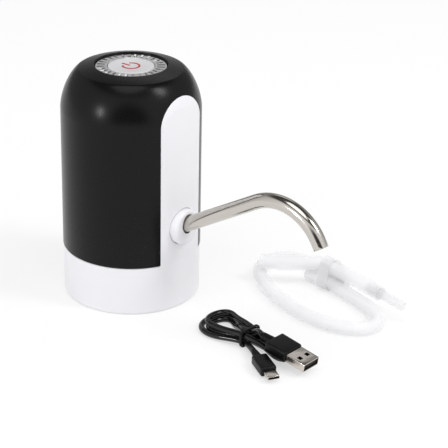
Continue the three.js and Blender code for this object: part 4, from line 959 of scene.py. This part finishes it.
class PUMP_OT_spout(bpy.types.Operator):
    """Boss on the strip, the seal in its mouth, and the bent steel spout"""

    bl_idname = "pump.spout"
    bl_label = "Spout"

    def execute(self, context):
        self.add_boss()
        self.add_seal()
        bend = sizes().spout_bend_radius
        radius = sizes().spout_radius
        line = [spout_point(-SPOUT_INSIDE, 0), spout_point(SPOUT_REACH - SPOUT_SPACING, 0)]
        for i in range(BEND_STEPS + 1):
            angle = SPOUT_BEND * i / BEND_STEPS
            line.append(spout_point(SPOUT_REACH + bend * math.sin(angle), -bend * (1 - math.cos(angle))))
        line.append(spout_point(SPOUT_REACH + bend, -bend - SPOUT_DROP))
        pipe = tube(evenly(line, SPOUT_SPACING), radius, MIDDLE_SIDES // 2, radius - SPOUT_WALL)
        bevelled(pipe, sharp_edges(pipe, RIM_TURN), LIP_WIDTH, segments=2)
        finished("steel_spout", pipe, "spout", "brushed_stainless", "spout_tube")
        return {"FINISHED"}

    def add_boss(self):
        outline = filleted([
            (0, BOSS_FLANGE_BACK),
            (BOSS_FLANGE_RADIUS, BOSS_FLANGE_BACK),
            (BOSS_FLANGE_RADIUS, PANEL_BACK - GAP),
            (BOSS_RADIUS, PANEL_BACK - GAP),
            (BOSS_RADIUS, BOSS_FRONT, BOSS_ROUND),
            (0, BOSS_FRONT),
        ])
        ring = moved(along_x(lathe(outline, MIDDLE_SIDES)), (0, 0, SPOUT_HEIGHT))
        bore = on_spout_axis(drum(BORE_RADIUS + GAP, SOCKET_BACK - OVERRUN, BOSS_FRONT, MIDDLE_SIDES))
        boss = carved(ring, [bore])
        mouth = [e for e in sharp_edges(boss, CORNER_TURN)
                 if all(abs(v.co.x - BOSS_FRONT) < MERGE for v in e.verts)]
        bevelled(boss, mouth, MOUTH_ROUND)
        finished("spout_collar_ring", boss, "housing", "white_abs_satin", "spout_boss")

    def add_seal(self):
        centre = sizes().spout_radius + GAP + SEAL_RADIUS
        outline = arc_points(centre, SEAL_PLACE, SEAL_RADIUS, 0, TURN, SMALL_SIDES // 2)[:-1]
        seal = on_spout_axis(lathe(outline, MIDDLE_SIDES))
        finished("o_ring", seal, "housing", "moulded_rubber", "spout_seal")


# Button
RING_THICKNESS = mm(1.6)
RING_BEVEL = mm(0.5)
FACET_COUNT = 28
FACET_DEPTH = mm(0.6)
FACET_STEPS = 4
FACETS_INNER = mm(13.7)
FACETS_OUTER = mm(18.1)
FACETS_MIDDLE = (FACETS_INNER + FACETS_OUTER) / 2
CAP_PLATE = mm(1.8)
CAP_WALL = mm(0.9)
CAP_SKIRT = mm(5.3)
CAP_FLANGE = mm(15.2)
CAP_FLANGE_THICKNESS = mm(1.2)
CAP_ROUND = mm(0.35)
CAP_DISH_RADIUS = mm(9)
CAP_DISH_DEPTH = mm(0.15)
CAP_DISH_ROUND = mm(0.5)
STEM_RADIUS = mm(2)
STEM_END = mm(120.4)
SYMBOL_RADIUS = mm(4.4)
SYMBOL_STROKE = mm(1)
SYMBOL_RISE = mm(0.12)
SYMBOL_LIFT = mm(0.02)
SYMBOL_OPENING = math.radians(74)
SYMBOL_BAR = (mm(-6.2), mm(-0.9))


class PUMP_OT_button(bpy.types.Operator):
    """Faceted bright ring, button cap and the power symbol on it"""

    bl_idname = "pump.button"
    bl_label = "Button"

    def execute(self, context):
        top = sizes().body_height - BUTTON_SINK
        self.add_ring(top)
        self.add_cap(top)
        self.add_symbol(top)
        return {"FINISHED"}

    def add_ring(self, top):
        inner, outer = sizes().button_radius + GAP, sizes().ring_radius
        bottom = top - RING_THICKNESS
        outline = filleted([
            (inner, bottom), (outer, bottom), (outer, top, RING_BEVEL), (FACETS_OUTER, top),
            (FACETS_MIDDLE, top), (FACETS_INNER, top), (inner, top, RING_BEVEL / 2),
        ])
        steps = FACET_STEPS * FACET_COUNT
        ring = lathe(outline, steps)
        for vert in ring.verts:
            at = round(math.atan2(vert.co.y, vert.co.x) / TURN * steps) % FACET_STEPS
            on_middle = vert.co.z > top - MERGE and abs(vert.co.xy.length - FACETS_MIDDLE) < MERGE
            if on_middle and at == FACET_STEPS // 2:
                vert.co.z -= FACET_DEPTH
        finished("faceted_ring", ring, "housing", "faceted_chrome", "button_ring", sharp=FACET_TURN)

    def add_cap(self, top):
        radius = sizes().button_radius
        flange_top = top - CAP_SKIRT
        wall = radius - CAP_WALL
        dish = top - CAP_DISH_DEPTH
        outline = filleted([
            (0, STEM_END), (STEM_RADIUS, STEM_END), (STEM_RADIUS, top - CAP_PLATE), (wall, top - CAP_PLATE),
            (wall, flange_top - CAP_FLANGE_THICKNESS), (CAP_FLANGE, flange_top - CAP_FLANGE_THICKNESS),
            (CAP_FLANGE, flange_top), (radius, flange_top), (radius, top, CAP_ROUND),
            (CAP_DISH_RADIUS + CAP_DISH_ROUND, top), (CAP_DISH_RADIUS, dish), (0, dish),
        ])
        finished("push_cap", lathe(outline, WIDE_SIDES), "button", "silver_abs_cap", "button_cap")

    def add_symbol(self, top):
        """The open ring, swept from one small face, and the bar in its opening."""
        low = top - CAP_DISH_DEPTH + SYMBOL_LIFT
        half = SYMBOL_STROKE / 2
        bm = bmesh.new()
        corners = ((-half, low), (half, low), (half, low + SYMBOL_RISE), (-half, low + SYMBOL_RISE))
        bm.faces.new([bm.verts.new((SYMBOL_RADIUS + x, 0, z)) for x, z in corners])
        start = math.pi + SYMBOL_OPENING / 2
        bmesh.ops.rotate(bm, verts=bm.verts, cent=(0, 0, 0), matrix=Matrix.Rotation(start, 3, "Z"))
        bmesh.ops.spin(bm, geom=bm.verts[:] + bm.edges[:] + bm.faces[:], cent=(0, 0, 0), axis=(0, 0, 1),
                       dvec=(0, 0, 0), angle=TURN - SYMBOL_OPENING, steps=MIDDLE_SIDES, use_merge=False,
                       use_duplicate=False)
        bmesh.ops.holes_fill(bm, edges=[e for e in bm.edges if len(e.link_faces) == 1], sides=4)
        bmesh.ops.recalc_face_normals(bm, faces=bm.faces)
        finished("symbol_arc", bm, "button", "red_pad_print", "power_symbol_ring")
        bar = slab((SYMBOL_BAR[0], -half, low), (SYMBOL_BAR[1], half, low + SYMBOL_RISE))
        finished("symbol_line", bar, "button", "red_pad_print", "power_symbol_bar")


# Intake hose, connector hose with its tube, and the clear band round them
HOSE_LIFT = mm(0.1)
TIE_WIDTH = mm(7)
TIE_SHEET = mm(0.5)
TIE_STEPS = 12
TIE_LIFT = TIE_SHEET + LOOSE_GAP
HOSE_HEIGHT = HOSE_RADIUS + HOSE_LIFT
HOSE_ROUTE_MM = [
    (72, 67.5), (80, 66.3, 0.6), (88, 64.8, 1), (96, 63, 0.4), (104, 61), (112, 58.5), (120, 55.2),
    (127.5, 51), (133, 45.3), (134.5, 38.5), (130.5, 32), (123, 28), (113, 26), (102, 26.2), (91, 28.4),
    (80.5, 31.8), (70, 36.5), (60, 42.5), (51.5, 50), (45.8, 59), (45, 68.5), (50, 76), (58.5, 79.5),
    (68, 79), (77, 76.6, 0.6), (86, 74.4, 1), (95, 73, 1),
]
CONNECTOR_ROUTE_MM = [
    (51.5, 49.3, 12.4), (62.9, 54.9, 12.5), (74.6, 64.4, 12.7), (80.6, 68.2, 12.8), (86.1, 67.7, 12.8),
    (91.8, 66.9, 12.8), (99.5, 65.5, 12.5), (113.2, 62.9, 11.8), (124.2, 60.3, 11.4),
]
CONNECTOR_TUBE_ROUTE_MM = [
    (115.5, 62.3, 11.72), (124.2, 60.3, 11.4), (133.2, 58.3, 11.05), (141.0, 56.5, 10.75),
]
TIE_MIDDLE = Vector((mm(86.4), mm(69.8), HOSE_HEIGHT + TIE_LIFT))
TIE_YAW = math.radians(-7)
TIE_HALF_SPREAD = mm(4.7)
TIE_TOP = (mm(-2.25), mm(8.15))
CORD_SPACING = mm(1.4)


def in_metres(points):
    return [Vector((mm(x), mm(y), mm(z))) for x, y, z in points]


class PUMP_OT_hose(bpy.types.Operator):
    """Loop of intake hose with the connector hose tied on it"""

    bl_idname = "pump.hose"
    bl_label = "Hose"

    def execute(self, context):
        route = [Vector((mm(x), mm(y), HOSE_HEIGHT + TIE_LIFT * (rest[0] if rest else 0)))
                 for x, y, *rest in HOSE_ROUTE_MM]
        radius = sizes().hose_radius
        path = smooth_path(route, CORD_SPACING)
        loop = tube(path, radius, CORD_SIDES, HOSE_BORE)
        hose = finished("intake_loop", loop, "hose_set", "translucent_silicone", "intake_hose")
        upper = smooth_path(in_metres(CONNECTOR_ROUTE_MM), CORD_SPACING)
        sleeve = tube(upper, CONNECTOR_RADIUS, CORD_SIDES, CONNECTOR_TUBE_RADIUS + LOOSE_GAP)
        connector = finished("connector_sleeve", sleeve, "hose_set", "translucent_silicone", "connector_hose")
        inner = smooth_path(in_metres(CONNECTOR_TUBE_ROUTE_MM), CORD_SPACING)
        pipe = tube(inner, CONNECTOR_TUBE_RADIUS, CORD_SIDES, CONNECTOR_TUBE_RADIUS - CONNECTOR_TUBE_WALL)
        stiff = finished("connector_pipe", pipe, "hose_set", "clear_polyethylene", "connector_tube")
        strap = self.add_band()
        return {"FINISHED"}

    def add_band(self):
        def outline(grow):
            reach = sizes().hose_radius + LOOSE_GAP + grow
            top = CONNECTOR_RADIUS + 2 * GAP + grow
            low_end, high_end = QUARTER / 3, QUARTER * 5 / 3
            return [
                *arc_points(TIE_HALF_SPREAD, 0, reach, -QUARTER, low_end, TIE_STEPS),
                *arc_points(*TIE_TOP, top, low_end, high_end, TIE_STEPS),
                *arc_points(-TIE_HALF_SPREAD, 0, reach, high_end, QUARTER * 3, TIE_STEPS),
            ]
        strap = band(outline(TIE_SHEET), outline(0), TIE_WIDTH)
        turned(strap, Matrix.Translation(TIE_MIDDLE) @ Matrix.Rotation(TIE_YAW, 4, "Z"))
        return finished("clear_band", strap, "hose_set", "clear_polyethylene", "hose_tie")


# Charging cable: the hank follows the same formula as its solid
HANK_TURNS = 2.5
HANK_PITCH = mm(3.9)
HANK_LAYER = mm(3.8)
HANK_CENTRE = (mm(92), mm(-13))
HANK_YAW = math.radians(-5)
HANK_BEND = math.radians(10)
HANK_LOBES = {"left": (mm(33), mm(12.6)), "right": (mm(30), mm(9.6))}
HANK_WAIST = mm(4.5)
WAIST_SOFTNESS = 0.22
ANGLE_STEP = 1e-3

# Inset at each crossing of the waist, and what comes off the turn count in each lobe, in pitches
WAIST_SHARES = (0, 0.2, 0.1, 0, 1.05, 1.25)
PASS_SHARES = (0, 0, 0.15, 0, 1, 1)

# Where the waist blends into the lobes, and the turns over which the cord changes layer
LEFT_BLEND_SHARES = (0.1, 0.62)
RIGHT_BLEND_SHARES = (0, 0.42)
CLIMB_TURNS = (0.84, 0.95)
DESCENT_TURNS = (1.56, 1.63)
RETURN_TURNS = (2.43, 2.49)

CABLE_LIFT = mm(0.1)
CABLE_TIE_SHEET = mm(0.85)
CABLE_TIE_WIDTH = mm(1.6)
WAIST_LIFT = CABLE_TIE_SHEET + GAP
STEPS_PER_LOOP = 96
CORNER_PASSES = 16
USB_BODY = {"length": mm(13.5), "width": mm(13.8), "height": mm(6), "relief": mm(6.5),
            "relief_radius": mm(2.6)}
USB_SHELL = {"length": mm(11.8), "width": mm(12), "height": mm(4.5), "sheet": mm(0.4), "tongue": mm(1.8)}
USB_PLACE = Vector((mm(123.4), mm(-18), mm(7.4)))
USB_TURN = (math.radians(-3), math.radians(8.8))
USB_RISE_MM = [(94.5, -13.0, 7.7), (96.6, -13.2, 9.3), (98.8, -14.2, 10.3), (101, -15.7, 10.6)]
MICRO_BODY = {"length": mm(14), "width": mm(8.4), "height": mm(5.2), "relief": mm(6),
              "relief_radius": mm(2.2)}
MICRO_SHELL = {"length": mm(6.2), "width": mm(6.4), "height": mm(1.9), "sheet": mm(0.3)}
MICRO_PLACE = Vector((mm(120.8), mm(-34.5), mm(3.3)))
MICRO_TURN = (math.radians(-31), math.radians(2))
CONTACT_HALF = mm(1.25)
CONTACT_SPREAD = mm(2.8)
CONTACT_BACK = mm(5.2)
BODY_ROUND = mm(1.1)
SHELL_ROUND = mm(0.25)
SHELL_BACK_SHARE = 0.2
TONGUE_BACK = mm(1)
CABLE_TIE_ROUND = CABLE_TIE_SHEET / 3
CABLE_TIE_STEPS = 8

# Strain relief: radii are shares of its radius, places are shares of its length from its tip
GROOVE_COUNT = 3
GROOVE_DEPTH = mm(0.2)
GROOVE_START = 0.22
GROOVE_PITCH = 0.26
GROOVE_WIDTH = 0.1
GROOVE_FLANK = 0.2
RELIEF_TIP = 0.8
RELIEF_TIP_ROUND = mm(0.2)
RELIEF_RADII = (0.84, 0.05)
RELIEF_STEP = 0.02
RELIEF_ROOT = 0.6


def eased(low, high, value):
    share = min(max((value - low) / (high - low), 0), 1)
    return share * share * (3 - 2 * share)


def hank_outline(angle):
    c, s = math.cos(angle), math.sin(angle)
    reach, belly = HANK_LOBES["left" if c < 0 else "right"]
    spread = math.sqrt(c * c + WAIST_SOFTNESS * WAIST_SOFTNESS) - WAIST_SOFTNESS
    return Vector((reach * c, s * (HANK_WAIST + 2 * belly * spread)))


def hank_point(turn):
    angle = -QUARTER - TURN * turn
    c = math.cos(angle)
    low, high = LEFT_BLEND_SHARES if c < 0 else RIGHT_BLEND_SHARES
    lobe_share = eased(low, high, abs(c))
    waist = WAIST_SHARES[int(math.floor(2 * turn + 0.5))]
    inset = HANK_PITCH * (waist * (1 - lobe_share) + (turn - PASS_SHARES[int(2 * turn)]) * lobe_share)
    along = (hank_outline(angle - ANGLE_STEP) - hank_outline(angle + ANGLE_STEP)).normalized()
    place = hank_outline(angle) + Vector((along.y, -along.x)) * inset
    layer = eased(*CLIMB_TURNS, turn) - eased(*DESCENT_TURNS, turn) + eased(*RETURN_TURNS, turn)
    yaw = HANK_YAW + HANK_BEND * place.x / HANK_LOBES["right"][0]
    return Vector((
        HANK_CENTRE[0] + math.cos(yaw) * place.x - math.sin(yaw) * place.y,
        HANK_CENTRE[1] + math.sin(yaw) * place.x + math.cos(yaw) * place.y,
        CABLE_RADIUS + CABLE_LIFT + WAIST_LIFT * (1 - lobe_share) + HANK_LAYER * layer,
    ))


def plug_matrix(turn, place):
    yaw, dip = turn
    return Matrix.Translation(place) @ Matrix.Rotation(yaw, 4, "Z") @ Matrix.Rotation(dip, 4, "Y")


def plug_entry(size, turn, place):
    """Where the cord meets the plug, and the point straight behind it."""
    end = -size["length"] - size["relief"] - GAP
    return [plug_matrix(turn, place) @ Vector((end - back, 0, 0)) for back in (0, CABLE_RADIUS)]


class PUMP_OT_cable(bpy.types.Operator):
    """Charging cable in its hank, with its tie and both plugs"""

    bl_idname = "pump.cable"
    bl_label = "Charging cable"

    def execute(self, context):
        path = self.cable_path()
        radius = sizes().cable_radius
        cord = finished("charging_cord", tube(path, radius), "cable_set", "black_pvc_jacket",
                        "cable_hank", "cable_to_micro_plug", "cable_to_usb_plug")
        usb = self.add_plug("usb_grip", USB_BODY, USB_TURN, USB_PLACE, "usb_plug_body")
        micro = self.add_plug("micro_grip", MICRO_BODY, MICRO_TURN, MICRO_PLACE, "micro_plug_body")
        metal = self.add_usb_metal()
        tongue = self.add_tongue()
        small = self.add_micro_metal()
        tie = self.add_tie()
        return {"FINISHED"}

    def cable_path(self):
        count = round(HANK_TURNS * STEPS_PER_LOOP)
        hank = [hank_point(HANK_TURNS * i / count) for i in range(count + 1)]
        first_out = (hank[0] - hank[1]).normalized()
        last_out = (hank[-1] - hank[-2]).normalized()
        micro_side = smooth_path([
            *plug_entry(MICRO_BODY, MICRO_TURN, MICRO_PLACE),
            hank[0] + first_out * CABLE_RADIUS, hank[0] + first_out * GAP,
        ], CORD_SPACING)
        usb_side = smooth_path([
            hank[-1] + last_out * GAP, hank[-1] + last_out * CABLE_RADIUS, *in_metres(USB_RISE_MM),
            *reversed(plug_entry(USB_BODY, USB_TURN, USB_PLACE)),
        ], CORD_SPACING)
        even = evenly([*micro_side, *hank, *usb_side], CORD_SPACING / 2)
        return evenly(eased_corners(even, CORNER_PASSES), CORD_SPACING / 2)

    def add_plug(self, name, size, turn, place, node):
        """Overmoulded grip with rounded edges and a grooved, tapered strain relief."""
        body = slab((-size["length"], -size["width"] / 2, -size["height"] / 2),
                    (0, size["width"] / 2, size["height"] / 2))
        softened(body, BODY_ROUND, segments=5)
        radius, relief, front = size["relief_radius"], size["relief"], -size["length"]
        tip, root = front - relief, front * RELIEF_ROOT
        corners = [(0, tip), (radius * RELIEF_TIP, tip, RELIEF_TIP_ROUND)]
        for i in range(GROOVE_COUNT):
            low = tip + relief * (GROOVE_START + GROOVE_PITCH * i)
            width, flank = relief * GROOVE_WIDTH, relief * GROOVE_WIDTH * GROOVE_FLANK
            here = radius * (RELIEF_RADII[0] + RELIEF_RADII[1] * i)
            floor = here - GROOVE_DEPTH
            corners += [(here, low), (floor, low + flank), (floor, low + width - flank),
                        (here + radius * RELIEF_STEP, low + width)]
        corners += [(radius, front), (radius, root), (0, root)]
        rear = along_x(lathe(filleted(corners), SMALL_SIDES))
        grip = turned(carved(body, [rear], "UNION"), plug_matrix(turn, place))
        return finished(name, grip, "cable_set", "black_moulded_plug", node)

    def shell_with_room(self, size):
        """A plug's metal sleeve with rounded edges, and the room to cut from it."""
        across, up, sheet = size["width"] / 2, size["height"] / 2, size["sheet"]
        outer = softened(slab((GAP, -across, -up), (size["length"], across, up)), SHELL_ROUND)
        room = slab((size["length"] * SHELL_BACK_SHARE, sheet - across, sheet - up),
                    (size["length"] + OVERRUN, across - sheet, up - sheet))
        return outer, room

    def add_usb_metal(self):
        outer, room = self.shell_with_room(USB_SHELL)
        front = CONTACT_BACK + 2 * CONTACT_HALF
        windows = [slab((CONTACT_BACK, middle - CONTACT_HALF, 0),
                        (front, middle + CONTACT_HALF, USB_SHELL["height"]))
                   for middle in (CONTACT_SPREAD, -CONTACT_SPREAD)]
        metal = turned(carved(outer, [room, *windows]), plug_matrix(USB_TURN, USB_PLACE))
        return finished("usb_metal", metal, "cable_set", "nickel_plate", "usb_plug_shell")

    def add_tongue(self):
        half = USB_SHELL["width"] / 2 - USB_SHELL["sheet"] - GAP
        bottom = -USB_SHELL["height"] / 2 + USB_SHELL["sheet"] + GAP
        back, front = USB_SHELL["length"] * SHELL_BACK_SHARE + GAP, USB_SHELL["length"] - TONGUE_BACK
        tongue = slab((back, -half, bottom), (front, half, bottom + USB_SHELL["tongue"]))
        turned(softened(tongue, SHELL_ROUND), plug_matrix(USB_TURN, USB_PLACE))
        return finished("usb_tongue", tongue, "cable_set", "black_moulded_plug", "usb_plug_tongue")

    def add_micro_metal(self):
        outer, room = self.shell_with_room(MICRO_SHELL)
        metal = turned(carved(outer, [room]), plug_matrix(MICRO_TURN, MICRO_PLACE))
        return finished("micro_metal", metal, "cable_set", "nickel_plate", "micro_plug_shell")

    def add_tie(self):
        def outline(grow):
            half = HANK_WAIST + CABLE_RADIUS + GAP + grow
            bottom = -CABLE_RADIUS - GAP - grow
            top = HANK_LAYER + CABLE_RADIUS + GAP + grow
            corner = CABLE_RADIUS + grow
            side, low, high = half - corner, bottom + corner, top - corner
            places = ((side, low), (side, high), (-side, high), (-side, low))
            return [point for i, place in enumerate(places)
                    for point in arc_points(*place, corner, QUARTER * (i - 1), QUARTER * i, CABLE_TIE_STEPS)]
        tie = band(outline(CABLE_TIE_SHEET), outline(0), CABLE_TIE_WIDTH)
        softened(tie, CABLE_TIE_ROUND)
        turned(tie, Matrix.Translation((*HANK_CENTRE, CABLE_RADIUS + CABLE_LIFT + WAIST_LIFT))
               @ Matrix.Rotation(HANK_YAW, 4, "Z"))
        return finished("wire_tie", tie, "cable_set", "black_moulded_plug", "cable_tie")


class PUMP_OT_inside(bpy.types.Operator):
    """Finishes for the solids that carry over as they are, inside the housing"""

    bl_idname = "pump.inside"
    bl_label = "Inner works"

    def execute(self, context):
        for dress, names in CARRIED_OVER.items():
            for name in names:
                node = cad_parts[name]
                node.data.materials.clear()
                node.data.materials.append(finish(dress))
        return {"FINISHED"}


STEPS = (PUMP_OT_stage, PUMP_OT_cable, PUMP_OT_hose, PUMP_OT_base, PUMP_OT_shell, PUMP_OT_spout,
         PUMP_OT_button, PUMP_OT_inside)


class PUMP_PT_panel(bpy.types.Panel):
    """Sizes, colours and steps of the water pump"""

    bl_idname = "PUMP_PT_panel"
    bl_label = "Water Pump"
    bl_space_type = "VIEW_3D"
    bl_region_type = "UI"
    bl_category = "Water Pump"

    def draw(self, context):
        for group in (context.scene.pump_sizes, context.scene.pump_colours):
            for name in group.__annotations__:
                self.layout.prop(group, name)
        for step in STEPS:
            self.layout.operator(step.bl_idname)


CLASSES = (PumpSizes, PumpColours, *STEPS, PUMP_PT_panel)


def register():
    for cls in CLASSES:
        bpy.utils.register_class(cls)
    bpy.types.Scene.pump_sizes = bpy.props.PointerProperty(type=PumpSizes)
    bpy.types.Scene.pump_colours = bpy.props.PointerProperty(type=PumpColours)


def unregister():
    del bpy.types.Scene.pump_colours
    del bpy.types.Scene.pump_sizes
    for cls in reversed(CLASSES):
        bpy.utils.unregister_class(cls)


def main():
    register()
    for step in STEPS:
        group, name = step.bl_idname.split(".")
        getattr(getattr(bpy.ops, group), name)()


if __name__ == "__main__":
    main()
